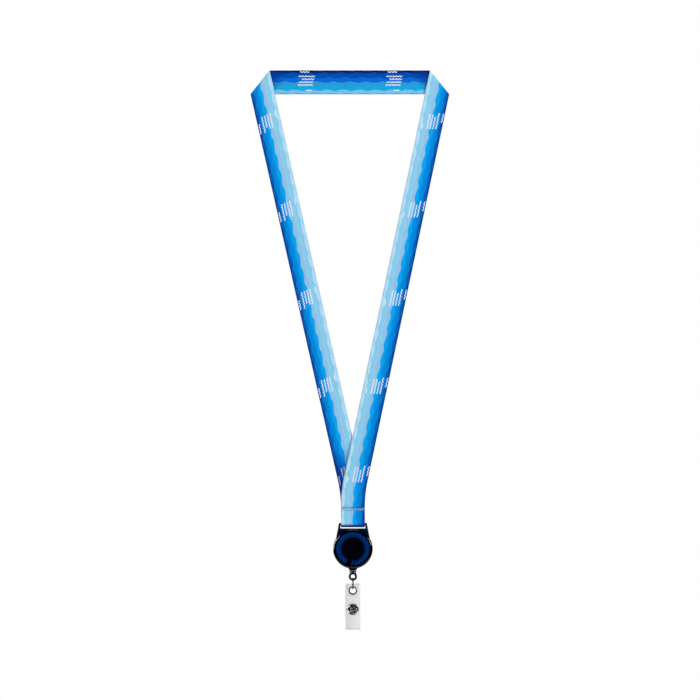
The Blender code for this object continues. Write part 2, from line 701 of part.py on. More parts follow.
def make_strap_eyelet():
    """A flanged tube through the back leaf, rolled over a washer behind it."""
    leaf_front = LEAF_THICKNESS / 2
    flange_low = leaf_front + FINE_GAP
    flange_high = flange_low + EYELET_WALL
    barrel = EYELET_BORE + EYELET_WALL
    washer_high = -leaf_front - FINE_GAP
    washer_low = washer_high - EYELET_WALL
    lip_high = washer_low - FINE_GAP
    lip_low = lip_high - EYELET_WALL
    lip_radius = EYELET_FLANGE - SEAT_GAP
    profile = [
        (EYELET_FLANGE - 0.1 * MM, flange_high), (EYELET_FLANGE, flange_low),
        (barrel, flange_low), (barrel, lip_high), (lip_radius, lip_high),
        (lip_radius - 0.1 * MM, lip_low), (EYELET_BORE, lip_low), (EYELET_BORE, flange_high),
    ]
    eyelet = turned("strap_eyelet", profile, 36, ring=True)
    place(eyelet, on_hang_line(EYELET_Z), FACING_FRONT, STEEL)
    washer = turned(
        "eyelet_washer",
        ring_profile(barrel + FINE_GAP, EYELET_FLANGE, washer_low, washer_high),
        36, ring=True,
    )
    place(washer, on_hang_line(EYELET_Z), FACING_FRONT, STEEL)


def make_press_stud():
    """Cap and socket on the front leaf; stud and rear rivet on the back leaf."""
    at_snap = on_hang_line(SNAP_Z)
    back_face = LEAF_THICKNESS / 2
    front_inner = LEAF_PITCH - LEAF_THICKNESS / 2
    front_outer = LEAF_PITCH + LEAF_THICKNESS / 2
    plate = 0.3 * MM
    stud_base = back_face + FINE_GAP
    socket_back = stud_base + plate + SEAT_GAP
    socket_front = front_inner - FINE_GAP
    stud_top = socket_front - 2 * FINE_GAP
    neck = STUD_RADIUS - 0.2 * MM
    stud = [
        (0, stud_top), (STUD_RADIUS - 0.3 * MM, stud_top), (STUD_RADIUS, stud_top - 0.3 * MM),
        (STUD_RADIUS, stud_top - 0.6 * MM), (neck, stud_base + plate + 0.2 * MM),
        (neck, stud_base + plate), (SNAP_RADIUS, stud_base + plate),
        (SNAP_RADIUS, stud_base), (0, stud_base),
    ]
    place(turned("snap_stud", stud, 32), at_snap, FACING_FRONT, STEEL)
    socket = ring_profile(
        STUD_RADIUS + SEAT_GAP + FINE_GAP, SNAP_RADIUS, socket_back, socket_front, 0.15 * MM
    )
    place(turned("snap_socket", socket, 32, ring=True), at_snap, FACING_FRONT, STEEL)
    cap_back = front_outer + FINE_GAP
    rivet_end = stud_top + SEAT_GAP
    cap = [
        (0, cap_back + 0.7 * MM), (CAP_RADIUS * 0.62, cap_back + 0.62 * MM),
        (CAP_RADIUS - 0.4 * MM, cap_back + 0.35 * MM), (CAP_RADIUS, cap_back + 0.1 * MM),
        (CAP_RADIUS, cap_back), (RIVET_RADIUS, cap_back), (RIVET_RADIUS, rivet_end),
        (0, rivet_end),
    ]
    place(turned("snap_cap", cap, 36), at_snap, FACING_FRONT, STEEL)
    rear = -back_face - FINE_GAP
    post = [
        (0, back_face), (RIVET_RADIUS, back_face), (RIVET_RADIUS, rear),
        (SNAP_RADIUS - 1 * MM, rear), (SNAP_RADIUS - 1.1 * MM, rear - plate),
        (0, rear - plate),
    ]
    place(turned("snap_post", post, 32), at_snap, FACING_FRONT, STEEL)


LANYARD, CUTTERS = start_scene()
RIBBON = material("printed_ribbon", (0.02, 0.35, 0.75), 0.7)
THREAD = material("pale_thread", (0.75, 0.85, 0.92), 0.8)
CASE = material("navy_plastic", (0.01, 0.03, 0.12), 0.2)
SPOOL = material("black_plastic", (0.01, 0.01, 0.015), 0.4)
CORD = material("black_cord", (0.02, 0.02, 0.025), 0.8)
STEEL = material("bright_steel", (0.72, 0.72, 0.73), 0.25, 1.0)
VINYL = material("clear_vinyl", (0.85, 0.86, 0.86), 0.3)

make_neck_strap()
make_threads()
make_rear_cover()
make_front_cover()
make_spool()
make_power_spring()
make_spring_cover()
make_cord()
make_cord_stop()
make_split_ring()
make_vinyl_strap()
make_strap_eyelet()
make_press_stud()
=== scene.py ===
"""A printed neck lanyard with a retractable badge reel and a clear snap strap, hanging by its neck band.

Shapes are worked out in millimetres, in the frame's own axes, and put into meshes in metres.
"""
import json
import math

import bmesh
import bpy
import numpy as np
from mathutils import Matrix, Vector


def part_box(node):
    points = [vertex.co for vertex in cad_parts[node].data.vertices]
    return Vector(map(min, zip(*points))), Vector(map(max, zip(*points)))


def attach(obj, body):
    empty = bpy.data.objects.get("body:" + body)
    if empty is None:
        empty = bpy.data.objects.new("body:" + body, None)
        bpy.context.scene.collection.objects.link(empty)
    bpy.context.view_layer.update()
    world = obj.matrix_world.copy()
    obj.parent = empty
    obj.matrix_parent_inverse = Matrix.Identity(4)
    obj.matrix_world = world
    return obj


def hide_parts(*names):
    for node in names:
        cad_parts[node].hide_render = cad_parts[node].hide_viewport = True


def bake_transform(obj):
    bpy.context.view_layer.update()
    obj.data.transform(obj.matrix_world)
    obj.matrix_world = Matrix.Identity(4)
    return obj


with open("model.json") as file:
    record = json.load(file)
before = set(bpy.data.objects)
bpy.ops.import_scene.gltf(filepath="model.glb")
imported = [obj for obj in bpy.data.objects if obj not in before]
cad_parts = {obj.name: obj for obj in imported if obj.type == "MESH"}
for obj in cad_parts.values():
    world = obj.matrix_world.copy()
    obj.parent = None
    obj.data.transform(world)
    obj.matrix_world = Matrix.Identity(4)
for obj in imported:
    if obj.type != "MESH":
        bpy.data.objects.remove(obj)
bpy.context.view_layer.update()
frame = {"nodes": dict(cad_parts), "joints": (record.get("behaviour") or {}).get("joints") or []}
joint_place = {joint["name"]: np.array(joint.get("pos_m", (0, 0, 0))) * 1000 for joint in frame["joints"]}


# ================================================================ studio
# The lanyard hangs in a white studio, seen level from the front through one long lens.
# Two soft lights stand in front of it, left and right, a third hangs above, and one beside it
# on the left shows only in polished edges. A pale round floor lies well below it.
CAMERA_DISTANCE = 3.0
VIEW_WIDTH = 0.5833             # what the camera sees across, at the lanyard
VIEW_MIDDLE = (0.0001, -0.223)  # across, up

camera = bpy.data.objects.new("front_camera", bpy.data.cameras.new("front_camera"))
bpy.context.scene.collection.objects.link(camera)
camera.data.sensor_width = 36
camera.data.lens = 36 * CAMERA_DISTANCE / VIEW_WIDTH
camera.location = (VIEW_MIDDLE[0], -CAMERA_DISTANCE, VIEW_MIDDLE[1])
camera.rotation_euler = (math.pi / 2, 0, 0)
camera.data.clip_end = 50
bpy.context.scene.camera = camera
bpy.context.scene.view_settings.view_transform = "Standard"


def linear(red, green, blue):
    """A display colour, 0 to 255, as linear light: ((c + 0.055) / 1.055) ^ 2.4, or c / 12.92 near black."""
    c = np.array([red, green, blue]) / 255
    return tuple(float(x) for x in np.where(c > 0.04045, ((c + 0.055) / 1.055) ** 2.4, c / 12.92))


def soft_light(name, place, size, power):
    """A square area light that faces the middle of the lanyard."""
    light = bpy.data.objects.new(name, bpy.data.lights.new(name, "AREA"))
    bpy.context.scene.collection.objects.link(light)
    light.data.size = size
    light.data.energy = power
    light.location = place
    aim = np.array([VIEW_MIDDLE[0], 0, VIEW_MIDDLE[1]]) - np.array(place)
    light.rotation_euler = (math.acos(-aim[2] / np.linalg.norm(aim)), 0, math.atan2(-aim[0], aim[1]))
    return light


soft_light("left_light", (-1.5, -1.7, 0.5), 0.8, 22.5)
soft_light("right_light", (1.7, -1.2, 0.2), 0.8, 32)
soft_light("top_light", (0.0, -0.3, 1.6), 1.4, 10)
edge_light = soft_light("edge_light", (-1.56, 0.0, -0.03), 1.0, 42)
edge_light.visible_diffuse = False
edge_light.visible_transmission = False

# The camera sees plain white round the lanyard. What lights it is softer, and darker in front,
# and what shines in polished pieces is dimmer still, so that metal and dark plastic keep their tone.
studio = bpy.data.worlds.new("studio")
studio.use_nodes = True
bpy.context.scene.world = studio
world_nodes = studio.node_tree.nodes
join = studio.node_tree.links.new
white_sky = world_nodes["Background"]
white_sky.inputs["Color"].default_value = (1, 1, 1, 1)
soft_sky = world_nodes.new("ShaderNodeBackground")
direction = world_nodes.new("ShaderNodeTexCoord")
split_direction = world_nodes.new("ShaderNodeSeparateXYZ")
join(direction.outputs["Generated"], split_direction.inputs[0])
sky_ramp = world_nodes.new("ShaderNodeValToRGB")
sky_ramp.color_ramp.elements[0].position = 0.5
sky_ramp.color_ramp.elements[0].color = (0.12, 0.12, 0.13, 1)
sky_ramp.color_ramp.elements[1].position = 0.85
sky_ramp.color_ramp.elements[1].color = (0.95, 0.95, 0.95, 1)
half_range = world_nodes.new("ShaderNodeMapRange")
half_range.inputs["From Min"].default_value = -1
join(split_direction.outputs["Y"], half_range.inputs["Value"])
join(half_range.outputs["Result"], sky_ramp.inputs[0])
join(sky_ramp.outputs["Color"], soft_sky.inputs["Color"])
ray_kind = world_nodes.new("ShaderNodeLightPath")
mirrored_power = world_nodes.new("ShaderNodeMapRange")
mirrored_power.inputs["To Min"].default_value = 1.0
mirrored_power.inputs["To Max"].default_value = 0.15
mirrored = world_nodes.new("ShaderNodeMath")
mirrored.operation = "SUBTRACT"
mirrored.use_clamp = True
join(ray_kind.outputs["Is Glossy Ray"], mirrored.inputs[0])
join(ray_kind.outputs["Is Transmission Ray"], mirrored.inputs[1])
join(mirrored.outputs[0], mirrored_power.inputs["Value"])
join(mirrored_power.outputs["Result"], soft_sky.inputs["Strength"])
sky_mix = world_nodes.new("ShaderNodeMixShader")
join(ray_kind.outputs["Is Camera Ray"], sky_mix.inputs[0])
join(soft_sky.outputs[0], sky_mix.inputs[1])
join(white_sky.outputs[0], sky_mix.inputs[2])
join(sky_mix.outputs[0], world_nodes["World Output"].inputs["Surface"])

FLOOR_DROP = 1.15             # the strap comes down to 1.06 when its cord is drawn out
turn = np.linspace(0, math.tau, 129)[:-1]
floor_mesh = bpy.data.meshes.new("floor")
floor_points = np.stack([1.5 * np.cos(turn), 1.5 * np.sin(turn), np.full(128, -FLOOR_DROP)], axis=1)
floor_mesh.from_pydata(floor_points.tolist(), [], [list(range(128))])
floor = bpy.data.objects.new("floor", floor_mesh)
bpy.context.scene.collection.objects.link(floor)
floor_paint = bpy.data.materials.new("pale_floor")
floor_paint.use_nodes = True
floor_paint.node_tree.nodes["Principled BSDF"].inputs["Base Color"].default_value = (0.8, 0.8, 0.8, 1)
floor_paint.node_tree.nodes["Principled BSDF"].inputs["Roughness"].default_value = 0.7
floor_mesh.materials.append(floor_paint)


# ================================================================ ribbon
# One 20 mm strip of woven polyester, dye printed in wavy bands on both faces.
# It folds over at the two neck corners; its left end goes round the reel's bar and up again,
# and is sewn over the right end, with the two cut ends lying inside and in front.
RIBBON_HALF = 10.0
RIBBON_THICK = 1.0
LAYER_PITCH = 1.3               # from one folded layer's middle to the next
NECK_CORNER = 81.5
MEET_DROP = 342.0               # where the two legs' middle lines would cross
CURVE_HALF = 12.7
DRIFT = (0.35, 0.8)             # shares of a leg over which the left one drifts back
bar = joint_place["reel_swing"]
HANG_X = float(bar[0])
HANG_Y = float(bar[1])
SEAM_DROP = MEET_DROP + CURVE_HALF
FLAT_END = -(SEAM_DROP + 8.0)
LOOP_RADIUS = 1.95


def smooth_step(t):
    """0 up to 0, 1 from 1 on, and 3 t^2 - 2 t^3 between."""
    t = np.clip(t, 0.0, 1.0)
    return t * t * (3 - 2 * t)


def corner_fold(side, steps=24):
    """Rows of the half turn between the neck band and one leg, and the leg's start, run and reach.

    The crease lies along the sum of the band's run and the leg's run. Each row is the crease, moved
    along itself and outwards by radius * sin(angle), and back by radius * (1 - cos(angle)).
    """
    radius = LAYER_PITCH / 2
    run_in = np.array([side, 0.0])
    tilt = 0.2
    for _ in range(20):
        run_out = np.array([-side * math.sin(tilt), -math.cos(tilt)])
        crease = (run_in + run_out) / np.linalg.norm(run_in + run_out)
        along = run_in @ crease
        outward = run_in - along * crease
        across = np.linalg.norm(outward)
        outward = outward / across
        bottom = np.array([side * NECK_CORNER, -RIBBON_HALF])
        top = bottom - crease * 2 * RIBBON_HALF / -crease[1]
        shift = crease * along * radius * math.pi / across
        start = (top + bottom) / 2 + shift
        tilt = math.atan2(side * (start[0] - HANG_X), start[1] + MEET_DROP)
    angle = np.linspace(0, math.pi, steps)[:, None, None]
    moved = np.stack([top, bottom])[None] + shift * angle / math.pi + outward * radius * np.sin(angle)
    depth = -radius * (1 - np.cos(angle)) * np.ones((1, 2, 1))
    rows = np.concatenate([moved[..., :1], depth, moved[..., 1:]], axis=2)
    return rows, start, run_out, RIBBON_HALF * along / across


def between(row_a, row_b, count):
    """Rows evenly spaced from row_a, left out, to row_b, left out."""
    t = np.linspace(0, 1, count + 2)[1:-1, None, None]
    return row_a[None] * (1 - t) + row_b[None] * t


def leg_depth(side, z):
    """The left leg drifts back by one layer before the legs cross; the right leg stays in front."""
    if side > 0:
        return np.full_like(z, -LAYER_PITCH)
    return -LAYER_PITCH * (1 - smooth_step((-z / SEAM_DROP - DRIFT[0]) / (DRIFT[1] - DRIFT[0])))


def level_rows(side, y, z):
    """Level rows on the hang line, from arrays of depths and heights."""
    edge = side * RIBBON_HALF
    first = np.stack([np.full_like(z, HANG_X - edge), y, z], axis=1)
    last = np.stack([np.full_like(z, HANG_X + edge), y, z], axis=1)
    return np.stack([first, last], axis=1)


def leg_rows(side):
    """Rows down one leg: a straight run, then a quadratic curve that ends upright."""
    fold, start, run, reach = corner_fold(side)
    meet = np.array([HANG_X, -MEET_DROP])
    straight_end = meet - run * CURVE_HALF
    upright = meet - np.array([0, CURVE_HALF])
    first = start + run * (reach + RIBBON_THICK)
    t = np.linspace(0, 1, 260)[:, None]
    straight = first + (straight_end - first) * t
    t = np.linspace(0, 1, 40)[1:, None]
    curve = (1 - t) ** 2 * straight_end + 2 * t * (1 - t) * meet + t * t * upright
    turning = 2 * (1 - t) * (meet - straight_end) + 2 * t * (upright - meet)
    line = np.vstack([straight, curve])
    runs = np.vstack([np.repeat(run[None], len(straight), axis=0), turning])
    runs /= np.linalg.norm(runs, axis=1, keepdims=True)
    inward = np.stack([runs[:, 1], -runs[:, 0]], axis=1) * side * RIBBON_HALF
    depth = leg_depth(side, line[:, 1])
    rows = np.stack([
        np.stack([p[:, 0], depth, p[:, 1]], axis=1) for p in (line + inward, line - inward)
    ], axis=1)
    return np.concatenate([fold, between(fold[-1], rows[0], 14), rows])


def loop_rows():
    """The left end: down behind, round the bar, and up in front to its cut end."""
    back, front = 0.0, HANG_Y - LAYER_PITCH
    bar_z = float(bar[2])
    t = np.linspace(0, 1, 16)[:-1]
    down_y = back + (HANG_Y + LOOP_RADIUS - back) * smooth_step(t)
    down_z = FLAT_END + (bar_z - FLAT_END) * t
    angle = np.linspace(0, -math.pi, 33)
    round_y = HANG_Y + LOOP_RADIUS * np.cos(angle)
    round_z = bar_z + LOOP_RADIUS * np.sin(angle)
    t = np.linspace(0, 1, 16)[1:]
    up_y = HANG_Y - LOOP_RADIUS + (front - HANG_Y + LOOP_RADIUS) * smooth_step(t)
    up_z = bar_z + (FLAT_END - bar_z) * t
    end_z = np.linspace(FLAT_END, -SEAM_DROP, 12)[1:]
    y = np.concatenate([down_y, round_y, up_y, np.full(11, front)])
    z = np.concatenate([down_z, round_z, up_z, end_z])
    return level_rows(-1, y, z)


def flat_rows(side, end):
    """Rows straight down from the seam to where the layers part."""
    z = np.linspace(-SEAM_DROP, end, 12)[1:]
    return level_rows(side, np.full(11, float(leg_depth(side, np.array([-SEAM_DROP]))[0])), z)


right_leg, left_leg = leg_rows(1), leg_rows(-1)
right_end = flat_rows(1, FLAT_END)
left_down = flat_rows(-1, FLAT_END)[:-1]
ribbon_loop = loop_rows()
neck = np.concatenate([right_leg[:1], between(right_leg[0], left_leg[0], 150), left_leg[:1]])
ribbon_rows = np.concatenate([
    right_end[::-1], right_leg[:0:-1], neck, left_leg[1:], left_down, ribbon_loop
])
leg_count, end_count, neck_count = len(right_leg), len(right_end), len(neck)

# How far along the strip each edge of each row lies, from the right leg's sewn end
step_length = np.linalg.norm(np.diff(ribbon_rows, axis=0), axis=2)
strip_length = np.vstack([np.zeros((1, 2)), np.cumsum(step_length, axis=0)])
middle_row = end_count + leg_count - 1 + neck_count // 2
strip_middle = float(strip_length[middle_row].mean())
RIBBON_LENGTH = float(strip_length[-1].mean())

# One turn of the cross-section: the first face, a round edge, the second face, a round edge
half_thick = RIBBON_THICK / 2
wide = 2 * RIBBON_HALF
flat_part = np.linspace(half_thick, wide - half_thick, 21)
edge_turn = np.radians(np.linspace(90, -90, 7))[1:-1]
section_across = np.concatenate([
    flat_part, wide - half_thick + half_thick * np.cos(edge_turn),
    flat_part[::-1], half_thick - half_thick * np.cos(edge_turn),
])
section_height = np.concatenate([
    np.full(21, half_thick), half_thick * np.sin(edge_turn),
    np.full(21, -half_thick), -half_thick * np.sin(edge_turn),
])
section_count = len(section_across)
on_first_face = np.ones(section_count, bool)
on_first_face[23:49] = False

share = (section_across / wide)[None, :, None]
middle_line = ribbon_rows.mean(axis=1)
tangent = np.gradient(middle_line, axis=0)
across_way = ribbon_rows[:, 1] - ribbon_rows[:, 0]
face_way = np.cross(across_way, tangent)
face_way /= np.linalg.norm(face_way, axis=1, keepdims=True)
ribbon_points = ribbon_rows[:, None, 0] * (1 - share) + ribbon_rows[:, None, 1] * share
ribbon_points = ribbon_points + face_way[:, None] * section_height[None, :, None]


def ring_mesh(name, points, wrap_rows=False, capped=True, smooth_angle=40):
    """A closed surface on a grid of points in millimetres, whose columns run round in a ring.

    The first and last rows are closed by a face each, or the rows too run round in a ring.
    The faces are turned round where the volume that they close in comes out negative.
    """
    rows, columns = points.shape[:2]
    index = np.arange(rows * columns).reshape(rows, columns)
    run = np.vstack([index, index[:1]]) if wrap_rows else index
    after = np.roll(run, -1, axis=1)
    faces = np.stack([run[:-1], after[:-1], after[1:], run[1:]], axis=-1).reshape(-1, 4).tolist()
    if capped and not wrap_rows:
        faces += [index[0][::-1].tolist(), index[-1].tolist()]
    mesh = bpy.data.meshes.new(name)
    mesh.from_pydata((points.reshape(-1, 3) / 1000).tolist(), [], faces)
    solid = bmesh.new()
    solid.from_mesh(mesh)
    if solid.calc_volume(signed=True) < 0:
        mesh.flip_normals()
    solid.free()
    mesh.shade_smooth()
    mesh.set_sharp_from_angle(angle=math.radians(smooth_angle))
    piece = bpy.data.objects.new(name, mesh)
    bpy.context.scene.collection.objects.link(piece)
    return piece


# The flap's cut end isn't quite straight
end_wave = 0.28 * np.sin(section_across * 0.95 + 0.6) + 0.12 * np.sin(section_across * 2.3)
ribbon_points[-2:, :, 2] += np.array([[0.5], [1.0]]) * (end_wave - 0.3)

ribbon = ring_mesh("printed_ribbon", ribbon_points)

# Print map: across from the dark edge on both faces, and along the strip, both in ribbon widths.
# The print is stretched by up to 3 % along the strip, as PRINT_PLACES says in millimetres.
# Tone map: how far the print's deeper part shows, and where a cut end is bare.
# Shade map: painted shade by the folds at the neck and round the bar, a thin painted shadow over the flap's
# cut end, and darker down the left leg towards its foot.
rows = len(ribbon_rows)
across = section_across / wide
along_strip = strip_length[:, :1] * (1 - across) + strip_length[:, 1:] * across - strip_middle
PRINT_PLACES = ((0, 36.6, 108.2, 408.7, 483.8), (0, 36.9, 110.7, 405.9, 479.7))
along_strip = np.sign(along_strip) * np.interp(np.abs(along_strip), *PRINT_PLACES) / wide
column_face = on_first_face & np.roll(on_first_face, -1)
row_number = np.arange(rows)
row_height = middle_line[:, 2]
neck_start = end_count + leg_count
is_neck = (row_number >= neck_start - 12) & (row_number <= neck_start + neck_count + 10)
is_left = row_number > middle_row
is_loop = row_number >= rows - len(ribbon_loop)
deep_first = smooth_step((-row_height - 298) / 34) * (is_left & ~is_neck & ~is_loop)
deep_second = is_neck.astype(float)
bare_end = smooth_step((strip_length.mean(axis=1) - RIBBON_LENGTH + 0.62) / 0.3)
# Painted shade: darker by the neck band's folds and at the loop's bottom round the bar, and a thin painted
# shadow on the right leg just over the flap's cut end; left_foot only darkens the left leg lower down.
fold_shade = smooth_step((np.abs(middle_line[:, 0]) - 54) / 12) * is_neck
bar_shade = smooth_step((-row_height - 367.4) / 1.9)
left_foot = 0.7 * smooth_step((-row_height - 302) / 40) * (is_left & ~is_loop)
end_shadow = smooth_step((-row_height - SEAM_DROP + 1.3) / 0.7) * (row_height > -SEAM_DROP - 0.01) * ~is_left
shade_first = np.maximum.reduce([bar_shade, left_foot, 0.4 * end_shadow])
shade_second = np.maximum(bar_shade, 0.62 * fold_shade)
quad_rows = np.stack([row_number[:-1]] * 2 + [row_number[1:]] * 2, axis=1)
column = np.arange(section_count)
next_column = np.roll(column, -1)
quad_columns = np.stack([column, next_column, next_column, column], axis=1)
corner_row = np.broadcast_to(quad_rows[:, None], (rows - 1, section_count, 4))
corner_column = np.broadcast_to(quad_columns[None], (rows - 1, section_count, 4))
first_face = np.broadcast_to(column_face[None, :, None], corner_row.shape)
across_share = section_across[corner_column] / wide
print_u = np.where(first_face, 1 - across_share, across_share)
print_v = along_strip[corner_row, corner_column]
deep = np.where(first_face, deep_first[corner_row], deep_second[corner_row])
shade_here = np.where(first_face, shade_first[corner_row], shade_second[corner_row])
cap_corners = 2 * section_count
for map_name, first, second in (
    ("print", print_u, print_v), ("tone", deep, bare_end[corner_row]), ("shade", shade_here, shade_here),
):
    layer = ribbon.data.uv_layers.new(name=map_name)
    values = np.stack([first, second], axis=-1).reshape(-1, 2)
    values = np.vstack([values, np.tile([[0.5, 1.0]], (cap_corners, 1))])
    layer.data.foreach_set("uv", values.astype(np.float32).ravel())


def new_finish(name, colour=(0.5, 0.5, 0.5), roughness=0.5, metallic=0.0):
    """A material, its node tree and its one shader."""
    finish = bpy.data.materials.new(name)
    finish.use_nodes = True
    shader = finish.node_tree.nodes["Principled BSDF"]
    shader.inputs["Base Color"].default_value = (*colour, 1)
    shader.inputs["Roughness"].default_value = roughness
    shader.inputs["Metallic"].default_value = metallic
    return finish, finish.node_tree, shader


def calc(tree, operation, *values):
    """One Math node on sockets and numbers; gives its output socket."""
    node = tree.nodes.new("ShaderNodeMath")
    node.operation = operation
    for socket, value in zip(node.inputs, values):
        if isinstance(value, bpy.types.NodeSocket):
            tree.links.new(value, socket)
        else:
            socket.default_value = value
    return node.outputs[0]


def ease(tree, value, low, high):
    """0 below low and 1 above high, with a smooth step between."""
    node = tree.nodes.new("ShaderNodeMapRange")
    node.interpolation_type = "SMOOTHSTEP"
    tree.links.new(value, node.inputs["Value"])
    node.inputs["From Min"].default_value = low
    node.inputs["From Max"].default_value = high
    return node.outputs["Result"]


def mix_colours(tree, factor, first, second):
    """first where factor is 0 and second where it is 1; each is a socket or a colour."""
    node = tree.nodes.new("ShaderNodeMix")
    node.data_type = "RGBA"
    for socket, value in ((node.inputs[0], factor), (node.inputs[6], first), (node.inputs[7], second)):
        if isinstance(value, bpy.types.NodeSocket):
            tree.links.new(value, socket)
        elif isinstance(value, (int, float)):
            socket.default_value = value
        else:
            socket.default_value = (*value, 1)
    return node.outputs[2]


def noise(tree, vector, scale, detail=2.0, roughness=0.5):
    """A noise field on a vector socket; gives its factor, from 0 to 1."""
    node = tree.nodes.new("ShaderNodeTexNoise")
    for name, value in (("Scale", scale), ("Detail", detail), ("Roughness", roughness)):
        node.inputs[name].default_value = value
    tree.links.new(vector, node.inputs["Vector"])
    return node.outputs["Fac"]


def add_bump(tree, shader, height, depth, strength=1.0):
    """Relief from a height socket, where depth is in metres."""
    node = tree.nodes.new("ShaderNodeBump")
    node.inputs["Distance"].default_value = depth
    node.inputs["Strength"].default_value = strength
    tree.links.new(height, node.inputs["Height"])
    tree.links.new(node.outputs["Normal"], shader.inputs["Normal"])


def read_map(tree, map_name):
    """The two coordinates of one of the piece's own UV maps."""
    source = tree.nodes.new("ShaderNodeUVMap")
    source.uv_map = map_name
    parts = tree.nodes.new("ShaderNodeSeparateXYZ")
    tree.links.new(source.outputs[0], parts.inputs[0])
    return parts.outputs[0], parts.outputs[1]


# Where each band of the print starts, in ribbon widths from the dark edge, and its colour
PLAIN_BANDS = [
    (0.00, (0, 66, 156)), (0.07, (4, 95, 178)), (0.15, (1, 130, 215)), (0.27, (1, 141, 224)),
    (0.365, (2, 164, 241)), (0.50, (146, 195, 229)), (0.64, (142, 206, 238)),
    (0.75, (136, 204, 236)), (0.86, (184, 222, 243)), (0.955, (158, 210, 238)),
]
DEEP_BANDS = [
    (0.00, (0, 14, 96)), (0.05, (1, 46, 126)), (0.12, (1, 77, 175)), (0.31, (1, 105, 217)),
    (0.49, (50, 151, 209)), (0.645, (14, 169, 224)), (0.83, (122, 193, 235)), (0.955, (84, 176, 227)),
]
WAVE_LENGTH = 13.7 / wide       # from crest to crest, in ribbon widths
WAVE_HEIGHT = 0.026
BORDER_BLUR = 0.008

ribbon_finish, tree, shader = new_finish("dye_printed_polyester", roughness=0.62)
u, v = read_map(tree, "print")
deep_part, bare_part = read_map(tree, "tone")
shade_part, _ = read_map(tree, "shade")


def banded(bands, phase):
    """Bands of colour whose borders are waves: u + height * (sin(kv + p) + sin(2kv + 1.7p) / 4)."""
    colour = linear(*bands[0][1])
    for number, (border, display) in enumerate(bands[1:]):
        shift = phase + 2.1 * number
        angle = calc(tree, "MULTIPLY_ADD", v, math.tau / WAVE_LENGTH, shift)
        double = calc(tree, "MULTIPLY_ADD", v, 2 * math.tau / WAVE_LENGTH, 1.7 * shift)
        wave = calc(tree, "MULTIPLY_ADD", calc(tree, "SINE", double), 0.25, calc(tree, "SINE", angle))
        place = calc(tree, "MULTIPLY_ADD", wave, WAVE_HEIGHT, u)
        past_border = ease(tree, place, border - BORDER_BLUR, border + BORDER_BLUR)
        colour = mix_colours(tree, past_border, colour, linear(*display))
    return colour


print_colour = mix_colours(tree, deep_part, banded(PLAIN_BANDS, 0.4), banded(DEEP_BANDS, 1.9))

# Watery mottling within the bands, longer across the strip than along it
flow = tree.nodes.new("ShaderNodeCombineXYZ")
tree.links.new(calc(tree, "MULTIPLY", u, 9.0), flow.inputs[0])
tree.links.new(calc(tree, "MULTIPLY", v, 15.0), flow.inputs[1])
tree.links.new(deep_part, flow.inputs[2])
tone = tree.nodes.new("ShaderNodeHueSaturation")
tree.links.new(print_colour, tone.inputs["Color"])
strength = ease(tree, noise(tree, flow.outputs[0], 2.2, 5, 0.65), 0.30, 0.70)
tree.links.new(calc(tree, "MULTIPLY_ADD", strength, 0.38, 0.82), tone.inputs["Value"])
print_colour = tone.outputs["Color"]

# A plain mark of six rows of ripples, one after each 73.8 mm of ribbon
MARK_PITCH = 73.8 / wide
beside = calc(tree, "SUBTRACT", calc(tree, "FRACT", calc(tree, "MULTIPLY", v, 1 / MARK_PITCH)), 0.5)
beside = calc(tree, "MULTIPLY", beside, MARK_PITCH)
ripple = calc(tree, "MULTIPLY", calc(tree, "SINE", calc(tree, "MULTIPLY", beside, math.tau / 0.13)), 0.016)
MARK_ROWS = ((0.07, 0.20, 0.12), (0.25, 0.34, 0.0), (0.37, 0.26, -0.08),
             (0.49, 0.31, -0.03), (0.61, 0.32, -0.02), (0.83, 0.12, -0.22))
mark = 0.0
for centre, half_length, shift in MARK_ROWS:
    off_line = calc(tree, "ABSOLUTE", calc(tree, "SUBTRACT", calc(tree, "ADD", u, ripple), centre))
    off_middle = calc(tree, "ABSOLUTE", calc(tree, "SUBTRACT", beside, shift))
    on_line = calc(tree, "SUBTRACT", 1.0, ease(tree, off_line, 0.016, 0.026))
    past_end = ease(tree, off_middle, half_length - 0.01, half_length + 0.01)
    on_length = calc(tree, "SUBTRACT", 1.0, past_end)
    mark = calc(tree, "MAXIMUM", mark, calc(tree, "MULTIPLY", on_line, on_length))
print_colour = mix_colours(tree, calc(tree, "MULTIPLY", mark, 0.86), print_colour, linear(242, 247, 255))
print_colour = mix_colours(tree, bare_part, print_colour, linear(182, 218, 238))
# Painted shade: the shade map darkens the colour towards deep navy.
print_colour = mix_colours(tree, shade_part, print_colour, linear(0, 44, 136))
tree.links.new(print_colour, shader.inputs["Base Color"])

# The weave: ribs across the strip every 0.55 mm, crossed by warp threads every 0.4 mm
rib = calc(tree, "SINE", calc(tree, "MULTIPLY", v, math.tau * wide / 0.55))
warp = calc(tree, "SINE", calc(tree, "MULTIPLY", u, math.tau * wide / 0.4))
weave = calc(tree, "MULTIPLY_ADD", rib, calc(tree, "MULTIPLY_ADD", warp, 0.3, 0.5), warp)
add_bump(tree, shader, weave, 0.00002, 0.5)
shader.inputs["Specular IOR Level"].default_value = 0.03
shader.inputs["Sheen Weight"].default_value = 0.01
shader.inputs["Sheen Roughness"].default_value = 0.4
ribbon.data.materials.append(ribbon_finish)
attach(ribbon, "ribbon")
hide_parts("neck_strap")


# ================================================================ stitching
# Pale polyester thread, 0.4 mm thick, in one row of zigzag lockstitch across the sewn end.
# The needle thread lies over the flap in front and the bobbin thread behind the last layer.
STITCHES = 14
ROW_HALF = RIBBON_HALF - 0.8
ROW_DROP = SEAM_DROP + 1.5
thread_radius = 0.14


